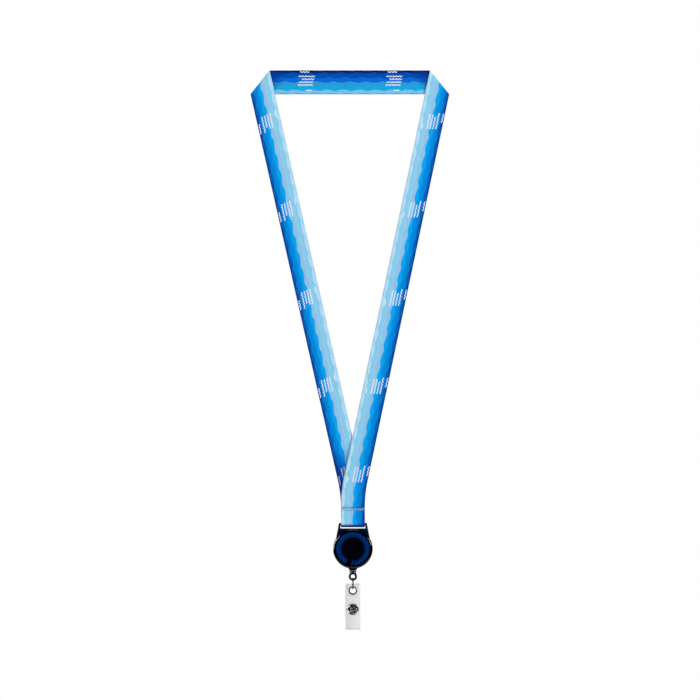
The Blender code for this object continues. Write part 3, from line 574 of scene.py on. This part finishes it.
def carried(name, path, section, up, capped=True):
    """A closed section of (out, up) offsets carried along a path of points.

    The section's up stays as near the given direction as the path lets it: out is the cross product
    of the path's run with up, and up is then the cross product of out with the run.
    """
    run = np.gradient(path, axis=0)
    run /= np.linalg.norm(run, axis=1, keepdims=True)
    out = np.cross(run, np.broadcast_to(up, run.shape))
    out /= np.linalg.norm(out, axis=1, keepdims=True)
    rise = np.cross(out, run)
    points = path[:, None] + out[:, None] * section[None, :, :1] + rise[:, None] * section[None, :, 1:]
    return ring_mesh(name, points, capped=capped)


def circle(radius, count):
    """Offsets round a circle, clockwise as seen along the path's run."""
    angle = -np.linspace(0, math.tau, count + 1)[:-1]
    return np.stack([radius * np.cos(angle), radius * np.sin(angle)], axis=1)


def own_place(tree):
    """The piece's own coordinates, in metres."""
    return tree.nodes.new("ShaderNodeTexCoord").outputs["Object"]


thread_finish, tree, shader = new_finish("pale_thread", linear(196, 224, 242), 0.6)
strands = tree.nodes.new("ShaderNodeTexWave")
strands.inputs["Scale"].default_value = 900
strands.bands_direction = "DIAGONAL"
tree.links.new(own_place(tree), strands.inputs["Vector"])
tree.links.new(
    mix_colours(tree, strands.outputs["Fac"], linear(104, 172, 220), linear(150, 202, 234)),
    shader.inputs["Base Color"],
)
add_bump(tree, shader, strands.outputs["Fac"], 0.00004)
shader.inputs["Sheen Weight"].default_value = 0.2

stitch = np.linspace(0, 2 * STITCHES, 2 * STITCHES * 10 + 1)
zigzag = 2 * np.arcsin(np.cos(math.pi * stitch) * 0.97) / math.pi
needle_dip = 0.20 * np.abs(np.cos(math.pi * stitch)) ** 6
for node, way, face in (
    ("needle_thread", -1, HANG_Y - LAYER_PITCH - half_thick),
    ("bobbin_thread", 1, HANG_Y + LAYER_PITCH + half_thick),
):
    line = np.stack([
        HANG_X - ROW_HALF + 2 * ROW_HALF * stitch / stitch[-1],
        face + way * (thread_radius + 0.05 - needle_dip),
        -ROW_DROP + 0.62 * zigzag,
    ], axis=1)
    stitches = carried(node.replace("thread", "stitches"), line, circle(thread_radius, 8), (0, 1, 0))
    stitches.data.materials.append(thread_finish)
    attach(stitches, "ribbon")
    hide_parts(node)


# ================================================================ reel case
# Two shells of clear navy polystyrene, moulded and pressed together round the rim.
# The rear one carries the posts and the bar that hold the ribbon, the nozzle that the cord
# leaves by, and a rib beside the spool; the front one is a flat cap with a round shoulder.
reel = joint_place["spool_spin"]
CASE_RADIUS = 16.5
HALF_DEPTH = 4.5
WALL = 1.2
WALL_INNER = CASE_RADIUS - WALL
WALL_MIDDLE = CASE_RADIUS - WALL / 2
SPLIT = 1.8                     # depth towards the front where the rear shell's wall ends
FIT_GAP = 0.3
POST_RADIUS = 2.0
SPOOL_RADIUS = 9.75
BAR_RADIUS = 1.15
SLOT_HALF = RIBBON_HALF + 0.4
NOZZLE_END = CASE_RADIUS + 1.7
CORD_RADIUS = 0.35
RIB_ANGLES = (244, 264)         # degrees, anticlockwise from the right


def rounded(corners, closed=True, steps=5):
    """A line through (x, y, radius) corners, each one cut by a quadratic curve of about its radius."""
    corners = np.array(corners, float)
    points, radii = corners[:, :2], corners[:, 2]
    before, after = np.roll(points, 1, axis=0), np.roll(points, -1, axis=0)
    line = []
    for i, (point, radius) in enumerate(zip(points, radii)):
        if radius <= 0 or not (closed or 0 < i < len(points) - 1):
            line.append(point[None])
            continue
        back, forward = before[i] - point, after[i] - point
        back_length, forward_length = np.linalg.norm(back), np.linalg.norm(forward)
        start = point + back * min(radius, 0.48 * back_length) / back_length
        end = point + forward * min(radius, 0.48 * forward_length) / forward_length
        t = np.linspace(0, 1, steps + 1)[:, None]
        line.append((1 - t) ** 2 * start + 2 * t * (1 - t) * point + t * t * end)
    return np.vstack(line)


def turned(name, profile, centre, steps=160, ring=False):
    """A profile of (radius, depth to the front) turned about the front-to-back line through centre."""
    angle = np.linspace(0, math.tau, steps + 1)[None, :-1]
    radius, depth = profile[:, :1], profile[:, 1:]
    points = np.stack([
        centre[0] + radius * np.cos(angle),
        centre[1] - depth * np.ones_like(angle),
        centre[2] + radius * np.sin(angle),
    ], axis=-1)
    return ring_mesh(name, points, wrap_rows=ring)


def plate(name, outline, low, high, centre, edge=0.3):
    """An outline seen from the front, between two depths, its rims rounded by an inset quarter turn.

    The outline runs anticlockwise; a point moves in along the mean of its two sides' normals.
    """
    side = np.roll(outline, -1, axis=0) - np.roll(outline, 1, axis=0)
    inward = np.stack([-side[:, 1], side[:, 0]], axis=1)
    inward /= np.linalg.norm(inward, axis=1, keepdims=True)
    angle = np.linspace(0, math.pi / 2, 4)
    inset = np.concatenate([edge * (1 - np.sin(angle)), edge * (1 - np.cos(angle))])[:, None, None]
    depth = np.concatenate([low + edge * (1 - np.cos(angle)), high - edge * (1 - np.sin(angle))])
    flat = outline[None] + inward[None] * inset
    depth = np.broadcast_to(depth[:, None], flat.shape[:2])
    points = np.stack([centre[0] + flat[..., 0], centre[1] - depth, centre[2] + flat[..., 1]], axis=-1)
    return ring_mesh(name, points)


def arc(radius, start, end, count):
    """Points of a circle round the middle between two angles in degrees, each with no rounding."""
    angle = np.radians(np.linspace(start, end, count))
    return [(radius * math.cos(a), radius * math.sin(a), 0) for a in angle]


def combined(piece, changes):
    """The piece joined with or cut by other solids, as one closed mesh; the others are removed."""
    for operation, helper in changes:
        change = piece.modifiers.new(helper.name, "BOOLEAN")
        change.operation = operation
        change.object = helper
    evaluated = piece.evaluated_get(bpy.context.evaluated_depsgraph_get())
    mesh = bpy.data.meshes.new_from_object(evaluated)
    piece.modifiers.clear()
    piece.data = mesh
    for _, helper in changes:
        bpy.data.objects.remove(helper, do_unlink=True)
    mesh.shade_smooth()
    mesh.set_sharp_from_angle(angle=math.radians(35))
    return piece


def rod(name, start, end, radius, sides=48):
    """A plain round rod between two points."""
    line = np.linspace(np.array(start, float), np.array(end, float), 3)
    up = (0, 1, 0) if abs(end[1] - start[1]) < 1e-6 else (0, 0, 1)
    return carried(name, line, circle(radius, sides), up)


inside_back = -HALF_DEPTH + WALL
post_front = HALF_DEPTH - WALL - FIT_GAP
cup = rounded([
    (0.4, post_front, 0), (POST_RADIUS, post_front, 0.2), (POST_RADIUS, inside_back, 0.3),
    (WALL_INNER, inside_back, 0.5), (WALL_INNER, SPLIT, 0.1), (CASE_RADIUS, SPLIT, 0.2),
    (CASE_RADIUS, -HALF_DEPTH, 1.3), (0.4, -HALF_DEPTH, 0),
], closed=False, steps=7)
rear_case = turned("rear_case", cup, reel)

slot_floor = CASE_RADIUS + 0.4
post_top = float(bar[2] - reel[2]) + BAR_RADIUS
frame_half = [
    (SLOT_HALF, slot_floor, 0.25), (SLOT_HALF, post_top, 0.45), (SLOT_HALF + 1.2, post_top, 0.6),
    (SLOT_HALF + 2.1, slot_floor, 0.8), (SLOT_HALF + 4.05, 6.9, 0),
]
frame_outline = rounded(
    frame_half + arc(WALL_INNER + 0.3, 27, 153, 60)
    + [(-x, z, corner) for x, z, corner in frame_half[::-1]]
)
loop_frame = plate("loop_frame", frame_outline[::-1], -1.4, 1.4, reel, 0.18)
bar_half = SLOT_HALF + 0.6
bar_ends = [(HANG_X + way * bar_half, HANG_Y, bar[2]) for way in (-1, 1)]
bar_rod = rod("bar_rod", *bar_ends, BAR_RADIUS)
nozzle_outline = rounded([
    (-2.8, -NOZZLE_END, 0.3), (2.8, -NOZZLE_END, 0.3), (3.8, -WALL_MIDDLE, 0), (-3.8, -WALL_MIDDLE, 0),
])
nozzle = plate("nozzle", nozzle_outline, -1.6, 1.6, reel, 0.45)
rib_outline = rounded(
    arc(WALL_MIDDLE, *RIB_ANGLES, 12) + arc(SPOOL_RADIUS + 0.35, *RIB_ANGLES[::-1], 12)
)
rib_block = plate("rib_block", rib_outline, -HALF_DEPTH + WALL / 2, 0.3, reel, 0.1)
bore_ends = [reel - (0, 0, drop) for drop in (NOZZLE_END + 1, WALL_INNER - 1)]
bore = rod("bore", *bore_ends, 0.65)
combined(rear_case, [
    ("UNION", loop_frame), ("UNION", bar_rod), ("UNION", nozzle), ("UNION", rib_block),
    ("DIFFERENCE", bore),
])

lip_outer = WALL_INNER - FIT_GAP
lip_inner = lip_outer - 0.7
seam_depth = SPLIT + FIT_GAP
lid = rounded([
    (0.4, HALF_DEPTH, 0), (CASE_RADIUS - 2.4, HALF_DEPTH, 1.0),
    (CASE_RADIUS - 1.0, HALF_DEPTH - 0.3, 0.6),
    (CASE_RADIUS, HALF_DEPTH - 1.3, 0.6), (CASE_RADIUS, seam_depth, 0.2), (lip_outer, seam_depth, 0.1),
    (lip_outer, 0.6, 0.15), (lip_inner, 0.6, 0.15), (lip_inner, HALF_DEPTH - WALL, 0.3),
    (0.4, HALF_DEPTH - WALL, 0),
], closed=False, steps=6)
front_case = turned("front_case", lid[::-1], reel)

case_finish, tree, shader = new_finish("clear_navy_plastic", roughness=0.06)
centred = tree.nodes.new("ShaderNodeMapping")
centred.inputs["Location"].default_value = -reel / 1000
tree.links.new(own_place(tree), centred.inputs["Vector"])
parts = tree.nodes.new("ShaderNodeSeparateXYZ")
tree.links.new(centred.outputs[0], parts.inputs[0])
x_square = calc(tree, "MULTIPLY", parts.outputs[0], parts.outputs[0])
radius = calc(tree, "SQRT", calc(tree, "MULTIPLY_ADD", parts.outputs[2], parts.outputs[2], x_square))
cloud = noise(tree, centred.outputs[0], 160)
band = mix_colours(tree, cloud, (0.0004, 0.150, 0.370), (0.0006, 0.172, 0.41))
# Painted shade: over the rib's sector, beyond the spool, the clear plastic's tint goes near black.
turn_here = calc(tree, "ARCTAN2", parts.outputs[2], parts.outputs[0])
off_rib = calc(tree, "ABSOLUTE", calc(tree, "SUBTRACT", turn_here, math.radians(sum(RIB_ANGLES) / 2 - 360)))
rib_shade = calc(tree, "SUBTRACT", 1.0, ease(tree, off_rib, math.radians(9.2), math.radians(10.2)))
rib_shade = calc(tree, "MULTIPLY", rib_shade, calc(tree, "GREATER_THAN", radius, (SPOOL_RADIUS + 0.2) / 1000))
# Painted shade: the one clear navy plastic is tinted darker in a ring inside the blue band, round the
# centre and at the rim, and deep navy past the rim on the posts, bar and nozzle.
band = mix_colours(tree, ease(tree, radius, 0.0113, 0.0118), (0.0004, 0.135, 0.335), band)
tint = mix_colours(tree, rib_shade, band, (0.0005, 0.001, 0.006))
tint = mix_colours(tree, ease(tree, radius, 0.0024, 0.0021), tint, (0.001, 0.002, 0.010))
tint = mix_colours(tree, ease(tree, radius, 0.0137, 0.0140), tint, (0.0005, 0.001, 0.010))
tint = mix_colours(tree, ease(tree, radius, 0.0166, 0.0170), tint, (0.0005, 0.004, 0.040))
tree.links.new(tint, shader.inputs["Base Color"])
add_bump(tree, shader, noise(tree, centred.outputs[0], 420), 0.000012, 0.6)
shader.inputs["Transmission Weight"].default_value = 1.0
shader.inputs["IOR"].default_value = 1.4
shader.inputs["Specular IOR Level"].default_value = 0.28
for piece, node in ((rear_case, "rear_cover"), (front_case, "front_cover")):
    piece.data.materials.clear()
    piece.data.materials.append(case_finish)
    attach(piece, "reel_case")
    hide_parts(node)


# ================================================================ spool, spring and cord
# A black moulded spool turns on the case's centre post, with the cord wound on it, a flat
# spring inside its drum and a thin steel disc over the spring. These keep their own shapes.
def dress(node, finish):
    """Gives a piece of the frame its finish."""
    frame["nodes"][node].material_slots[0].material = finish


def clouded(tree, shader, dark, light, scale, detail=2.0):
    """Colours the shader from dark to light in clouds on the piece's own coordinates; gives the clouds."""
    clouds = noise(tree, own_place(tree), scale, detail)
    tree.links.new(mix_colours(tree, clouds, dark, light), shader.inputs["Base Color"])
    return clouds


def plain_finish(name, dark, light, roughness, scale, depth, metallic=0.0):
    """Two near colours in fine clouds, with a matching relief; depth is in metres."""
    finish, tree, shader = new_finish(name, light, roughness, metallic)
    add_bump(tree, shader, clouded(tree, shader, dark, light, scale, 6), depth)
    return finish


dress("spool", plain_finish(
    "black_moulded", (0.012, 0.012, 0.020), (0.020, 0.020, 0.032), 0.4, 900, 0.00002
))
cord_finish = plain_finish(
    "braided_nylon", (0.004, 0.004, 0.006), (0.020, 0.020, 0.026), 0.7, 2600, 0.00008
)
dress("cord_winding", cord_finish)
spring_finish = plain_finish(
    "blued_spring", (0.25, 0.26, 0.30), (0.42, 0.43, 0.46), 0.32, 1500, 0.00001, 1.0
)
dress("power_spring", spring_finish)
dress("spring_cover", spring_finish)

# The cord itself: off the winding, through the nozzle and down to its knot in the stop.
# It is one braided line, and between the nozzle and the stop it draws out when it is pulled.
def box_of(node):
    """The low and high corners of a piece of the frame, in millimetres."""
    return [np.array(corner) * 1000 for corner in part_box(node)]


WINDING_RADIUS = 9.0
STOP_TOP = float(box_of("cord_stop")[1][2])
tangent_radius = WINDING_RADIUS + FIT_GAP + CORD_RADIUS
bend = np.array([0, -(WALL_INNER - 2 * WALL)])
leave_angle = -math.pi / 2 + math.acos(tangent_radius / -bend[1])
leave = tangent_radius * np.array([math.cos(leave_angle), math.sin(leave_angle)])
enter = bend + (leave - bend) * 0.2
mouth = np.array([0, -WALL_INNER])
t = np.linspace(0, 1, 24)[:, None]
curve_part = (1 - t) ** 2 * enter + 2 * t * (1 - t) * bend + t * t * mouth
cord_line = np.vstack([leave + (enter - leave) * t[:-1], curve_part, [[0, -NOZZLE_END]]])
cord_path = reel + np.insert(cord_line, 1, 0.0, axis=1)
knot_z = STOP_TOP - 1.7
below = np.linspace(STOP_TOP, knot_z - 0.5, 20)
cord_path = np.vstack([cord_path, np.insert(np.tile(reel[:2], (20, 1)), 2, below, axis=1)])
thickness = np.ones(len(cord_path))
thickness[-20:] = np.maximum(1.0, np.sqrt(np.maximum(0.36 - (below - knot_z) ** 2, 0.0)) / CORD_RADIUS)
thickness[-1] = 0.5
run = np.gradient(cord_path, axis=0)
run /= np.linalg.norm(run, axis=1, keepdims=True)
out = np.cross(run, (0, 1, 0))
ring = circle(CORD_RADIUS, 16)
cord_points = cord_path[:, None] + thickness[:, None, None] * (
    out[:, None] * ring[None, :, :1] + np.cross(out, run)[:, None] * ring[None, :, 1:]
)
pull_cord = ring_mesh("pull_cord", cord_points)
pull_cord.data.materials.append(cord_finish)
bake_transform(pull_cord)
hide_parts("cord_run", "cord_end")


# ================================================================ cord stop
# A small block of the same navy plastic with a pocket for the cord's knot and two windows,
# moulded in one with a flat round eye that the split ring passes through.
hang_point = np.array([HANG_X, HANG_Y, 0.0])
STOP_HALF = 2.8
STOP_DEPTH = 2.2
STOP_HEIGHT = 2.7
EYE_HOLE = 1.75
EYE_RADIUS = 3.5
EYE_HALF = 0.8
WINDOW_OUT = 1.8                # from the block's middle to each window's
EYE_DROP = 4.7                  # from the block's top to the eye's middle
block_middle = STOP_TOP - STOP_HEIGHT / 2
eye_z = STOP_TOP - EYE_DROP
block_outline = rounded([
    (-STOP_HALF, -STOP_HEIGHT / 2, 0.7), (STOP_HALF, -STOP_HEIGHT / 2, 0.7),
    (STOP_HALF, STOP_HEIGHT / 2, 0.6), (-STOP_HALF, STOP_HEIGHT / 2, 0.6),
])
cord_stop = plate(
    "stop_block", block_outline, -STOP_DEPTH, STOP_DEPTH, hang_point + (0, 0, block_middle), 0.5
)
eye_profile = rounded([
    (EYE_HOLE, -EYE_HALF, 0.3), (EYE_HOLE, EYE_HALF, 0.3),
    (EYE_RADIUS, EYE_HALF, 0.4), (EYE_RADIUS, -EYE_HALF, 0.4),
])
eye = turned("eye", eye_profile[::-1], hang_point + (0, 0, eye_z), 96, ring=True)
stop_changes = [("UNION", eye)]
for name, top, bottom, radius in (
    ("stop_bore", STOP_TOP + 1, STOP_TOP - 1.5, CORD_RADIUS + 0.25),
    ("pocket", STOP_TOP - 1.1, STOP_TOP - STOP_HEIGHT + 0.4, 0.95),
):
    drill = rod(name, hang_point + (0, 0, top), hang_point + (0, 0, bottom), radius, 32)
    stop_changes.append(("DIFFERENCE", drill))
window = rounded([(-0.24, -0.5, 0.15), (0.24, -0.5, 0.15), (0.24, 0.5, 0.15), (-0.24, 0.5, 0.15)])
for x in (-WINDOW_OUT, WINDOW_OUT):
    stop_changes.append(("DIFFERENCE", plate(
        "window", window, -STOP_DEPTH - 1, STOP_DEPTH + 1, hang_point + (x, 0, block_middle), 0.05
    )))
combined(cord_stop, stop_changes)
stop_finish, tree, shader = new_finish("navy_moulding", roughness=0.45)
clouds = clouded(tree, shader, (0.001, 0.002, 0.012), (0.003, 0.006, 0.030), 700)
add_bump(tree, shader, clouds, 0.00003)
shader.inputs["Specular IOR Level"].default_value = 0.12
cord_stop.data.materials.clear()
cord_stop.data.materials.append(stop_finish)
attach(cord_stop, "cord_stop")
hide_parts("cord_stop")


# ================================================================ split ring
# Nickel-plated spring wire in two flat turns side by side, which hangs in the stop's eye.
# The wire steps from one turn to the other at the back, between its own two ends.
WIRE_RADIUS = 0.35
RING_MIDDLE = 4.45
TURN_PITCH = 0.8
STEP_HALF = math.radians(20)
ring_box = box_of("split_ring")
RING_Z = float(ring_box[0][2] + ring_box[1][2]) / 2
angle = np.linspace(STEP_HALF, 2 * math.tau - STEP_HALF, 400)
crossed = smooth_step((angle - math.tau) / (2 * STEP_HALF) + 0.5)
wire_line = np.stack([
    HANG_X + TURN_PITCH * (crossed - 0.5),
    HANG_Y + RING_MIDDLE * np.cos(angle),
    RING_Z + RING_MIDDLE * np.sin(angle),
], axis=1)
wire_ring = carried("ring_wire", wire_line, circle(WIRE_RADIUS, 18), (1, 0, 0))


def metal_finish(name, dark, light, roughness, grain=2200, scratch=0.000004):
    """Plated metal: two near greys in fine clouds, with hairline relief."""
    finish, tree, shader = new_finish(name, light, roughness, 1.0)
    clouded(tree, shader, dark, light, grain / 6)
    add_bump(tree, shader, noise(tree, own_place(tree), grain), scratch)
    return finish


wire_metal = metal_finish("drawn_wire", (0.08, 0.08, 0.085), (0.15, 0.15, 0.155), 0.14)
wire_ring.data.materials.append(wire_metal)
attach(wire_ring, "split_ring")
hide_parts("split_ring")


# ================================================================ vinyl strap
# One strip of frosted clear PVC, 12.4 mm wide and 0.6 mm thick, folded double at the bottom.
# Its long leaf hangs on the ring by the eyelet; the short one snaps onto it in front.
back_box = box_of("vinyl_back_leaf")
front_box = box_of("vinyl_front_leaf")
LEAF_HALF = float(back_box[1][0] - back_box[0][0]) / 2
LEAF_THICK = float(back_box[1][1] - back_box[0][1])
LEAF_PITCH = float(back_box[0][1] - front_box[0][1])
LEAF_CORNER = 1.7
fold_radius = LEAF_PITCH / 2
fold_y = HANG_Y - fold_radius
fold_z = float(joint_place["strap_open"][2]) + fold_radius
back_length = float(back_box[1][2]) - fold_z
front_length = float(front_box[1][2]) - fold_z
fold_length = math.pi * fold_radius

# Rows along the strip: close together at the round corners and in the fold
corner_steps = LEAF_CORNER * (1 - np.cos(np.linspace(0, math.pi / 2, 12)))
total = back_length + fold_length + front_length
stations = np.concatenate([
    corner_steps, np.linspace(LEAF_CORNER, back_length, 30)[1:],
    back_length + np.linspace(0, fold_length, 33)[1:],
    back_length + fold_length + np.linspace(0, front_length - LEAF_CORNER, 22)[1:],
    total - corner_steps[::-1][1:],
])
bend_angle = (np.clip(stations, back_length, back_length + fold_length) - back_length) / fold_radius
going_up = np.clip(stations - back_length - fold_length, 0, None)
strip_y = fold_y + fold_radius * np.cos(bend_angle)
strip_z = fold_z - fold_radius * np.sin(bend_angle) + np.clip(back_length - stations, 0, None) + going_up
to_end = np.minimum(stations, total - stations)
before_corner = LEAF_CORNER - np.minimum(to_end, LEAF_CORNER)
corner_cut = LEAF_CORNER - np.sqrt(np.clip(LEAF_CORNER ** 2 - before_corner ** 2, 0, None))
half_width = LEAF_HALF - corner_cut
face_y = np.cos(bend_angle)
face_z = -np.sin(bend_angle)
edge_angle = np.radians(np.linspace(90, -90, 7))
edge_out = 0.12 * np.cos(edge_angle)
section_side = np.concatenate([np.ones(7), -np.ones(7)])
section_out = np.concatenate([edge_out - 0.12, -(edge_out - 0.12)])
section_rise = np.concatenate([np.sin(edge_angle), -np.sin(edge_angle)]) * LEAF_THICK / 2
strap_points = np.stack([
    HANG_X + half_width[:, None] * section_side + section_out,
    strip_y[:, None] + face_y[:, None] * section_rise,
    strip_z[:, None] + face_z[:, None] * section_rise,
], axis=-1)
strap = ring_mesh("vinyl_strap", strap_points)

EYELET_BORE = 2.45
EYELET_WALL = 0.3
RIVET_RADIUS = 1.1
eyelet_box = box_of("strap_eyelet")
eyelet_z = float(eyelet_box[0][2] + eyelet_box[1][2]) / 2
snap_box = box_of("snap_cap")
snap_z = float(snap_box[0][2] + snap_box[1][2]) / 2
combined(strap, [
    ("DIFFERENCE", rod(name, (HANG_X, y - 1, z), (HANG_X, y + 1, z), radius, sides))
    for name, y, z, radius, sides in (
        ("hole", HANG_Y, eyelet_z, 2.9, 64), ("back_hole", HANG_Y, snap_z, 1.3, 40),
        ("front_hole", HANG_Y - LEAF_PITCH, snap_z, 1.3, 40),
    )
])
vinyl_finish, tree, shader = new_finish("frosted_vinyl", linear(250, 250, 250), 0.3)
frost = clouded(tree, shader, linear(244, 244, 245), linear(252, 252, 252), 1400, 4)
add_bump(tree, shader, frost, 0.00003)
shader.inputs["Transmission Weight"].default_value = 0.18
shader.inputs["IOR"].default_value = 1.4
strap.data.materials.clear()
strap.data.materials.append(vinyl_finish)
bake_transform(strap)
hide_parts("vinyl_back_leaf", "vinyl_fold", "vinyl_front_leaf")


# ================================================================ eyelet
# A pressed nickel eyelet: its barrel goes through the long leaf from the front, and is rolled
# over a thin washer at the back.
at_eyelet = np.array([HANG_X, HANG_Y, eyelet_z])
half_leaf = LEAF_THICK / 2
barrel = EYELET_BORE + EYELET_WALL
FLANGE = 3.55
eyelet_profile = rounded([
    (EYELET_BORE, half_leaf + 0.52, 0.5), (FLANGE, half_leaf + 0.46, 0.35),
    (FLANGE, half_leaf + 0.06, 0.12), (barrel, half_leaf + 0.06, 0.08),
    (barrel, -half_leaf - 0.72, 0.08), (FLANGE - 0.3, -half_leaf - 0.72, 0.1),
    (FLANGE - 0.3, -half_leaf - 1.1, 0.25), (EYELET_BORE, -half_leaf - 1.1, 0.35),
], steps=6)
rolled_eyelet = turned("rolled_eyelet", eyelet_profile, at_eyelet, 120, ring=True)
washer_profile = rounded([
    (barrel + 0.1, -half_leaf - 0.15, 0.06), (FLANGE, -half_leaf - 0.15, 0.1),
    (FLANGE, -half_leaf - 0.5, 0.1), (barrel + 0.1, -half_leaf - 0.5, 0.06),
])
thin_washer = turned("thin_washer", washer_profile, at_eyelet, 120, ring=True)
nickel = metal_finish("nickel_plate", (0.17, 0.17, 0.18), (0.28, 0.28, 0.29), 0.16)
for piece, node in ((rolled_eyelet, "strap_eyelet"), (thin_washer, "eyelet_washer")):
    piece.data.materials.append(nickel)
    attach(piece, "badge_strap")
    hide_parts(node)


# ================================================================ press stud
# Four pressed nickel pieces: a fluted, domed cap riveted to a socket through the short leaf, and a
# stud riveted through the long leaf, which clicks into the socket.
at_snap = np.array([HANG_X, HANG_Y, snap_z])
cap_back = LEAF_PITCH + half_leaf + 0.06
CAP_RADIUS = 4.8
cap_profile = np.vstack([
    rounded([
        (0.15, LEAF_PITCH - half_leaf - 0.4, 0), (RIVET_RADIUS, LEAF_PITCH - half_leaf - 0.4, 0.1),
        (RIVET_RADIUS, cap_back, 0.1), (CAP_RADIUS - 0.1, cap_back, 0.12),
        (CAP_RADIUS, cap_back + 0.28, 0.2),
        (CAP_RADIUS - 0.35, cap_back + 0.55, 0.25), (CAP_RADIUS - 0.75, cap_back + 0.28, 0.25),
    ], closed=False, steps=6),
    rounded([
        (CAP_RADIUS - 1.05, cap_back + 0.30, 0), (CAP_RADIUS - 1.5, cap_back + 0.52, 0.3),
        (2.0, cap_back + 0.66, 0.6), (1.3, cap_back + 0.54, 0.2), (0.9, cap_back + 0.72, 0.3),
        (0.15, cap_back + 0.78, 0),
    ], closed=False, steps=8),
])
angle = np.linspace(0, math.tau, 193)[None, :-1]
cap_radius, cap_depth = cap_profile[:, :1], cap_profile[:, 1:]
on_dome = np.clip((cap_radius - 1.4) / 0.5, 0, 1) * np.clip((3.6 - cap_radius) / 0.4, 0, 1)
flutes = 0.16 * on_dome * (cap_depth > cap_back + 0.2) * np.cos(5 * angle + 0.6)
cap_points = np.stack([
    at_snap[0] + cap_radius * np.cos(angle),
    at_snap[1] - cap_depth - flutes,
    at_snap[2] + cap_radius * np.sin(angle),
], axis=-1)
domed_cap = ring_mesh("domed_cap", cap_points, smooth_angle=60)
cap_metal = metal_finish("aged_nickel", (0.24, 0.24, 0.25), (0.46, 0.46, 0.47), 0.14, 1500)

stud_base = half_leaf + 0.15
stud_top = 2.1
stud_profile = rounded([
    (0.15, -half_leaf - 0.06, 0), (RIVET_RADIUS, -half_leaf - 0.06, 0.1), (RIVET_RADIUS, stud_base, 0.05),
    (3.6, stud_base, 0.12), (3.6, stud_base + 0.3, 0.12), (1.2, stud_base + 0.3, 0.2),
    (1.2, stud_base + 0.55, 0.15), (1.4, stud_top - 0.6, 0.2), (1.4, stud_top, 0.35), (0.15, stud_top, 0),
], closed=False, steps=5)
snap_post_profile = rounded([
    (0.15, -half_leaf - 0.52, 0), (2.5, -half_leaf - 0.48, 0.2), (2.6, -half_leaf - 0.18, 0.1),
    (RIVET_RADIUS, -half_leaf - 0.12, 0.05), (RIVET_RADIUS, -half_leaf - 0.08, 0.02),
    (0.15, -half_leaf - 0.08, 0),
], closed=False, steps=5)
socket_profile = rounded([
    (1.9, 0.95, 0.15), (3.6, 0.95, 0.2), (3.6, 2.72, 0.25), (1.9, 2.72, 0.15),
])
stud = turned("round_stud", stud_profile, at_snap, 96)
post = turned("rivet_head", snap_post_profile, at_snap, 96)
socket = turned("spring_socket", socket_profile, at_snap, 96, ring=True)
for piece, node, body, finish in (
    (domed_cap, "snap_cap", "strap_flap", cap_metal), (socket, "snap_socket", "strap_flap", nickel),
    (stud, "snap_stud", "badge_strap", nickel), (post, "snap_post", "badge_strap", nickel),
):
    piece.data.materials.append(finish)
    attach(piece, body)
    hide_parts(node)
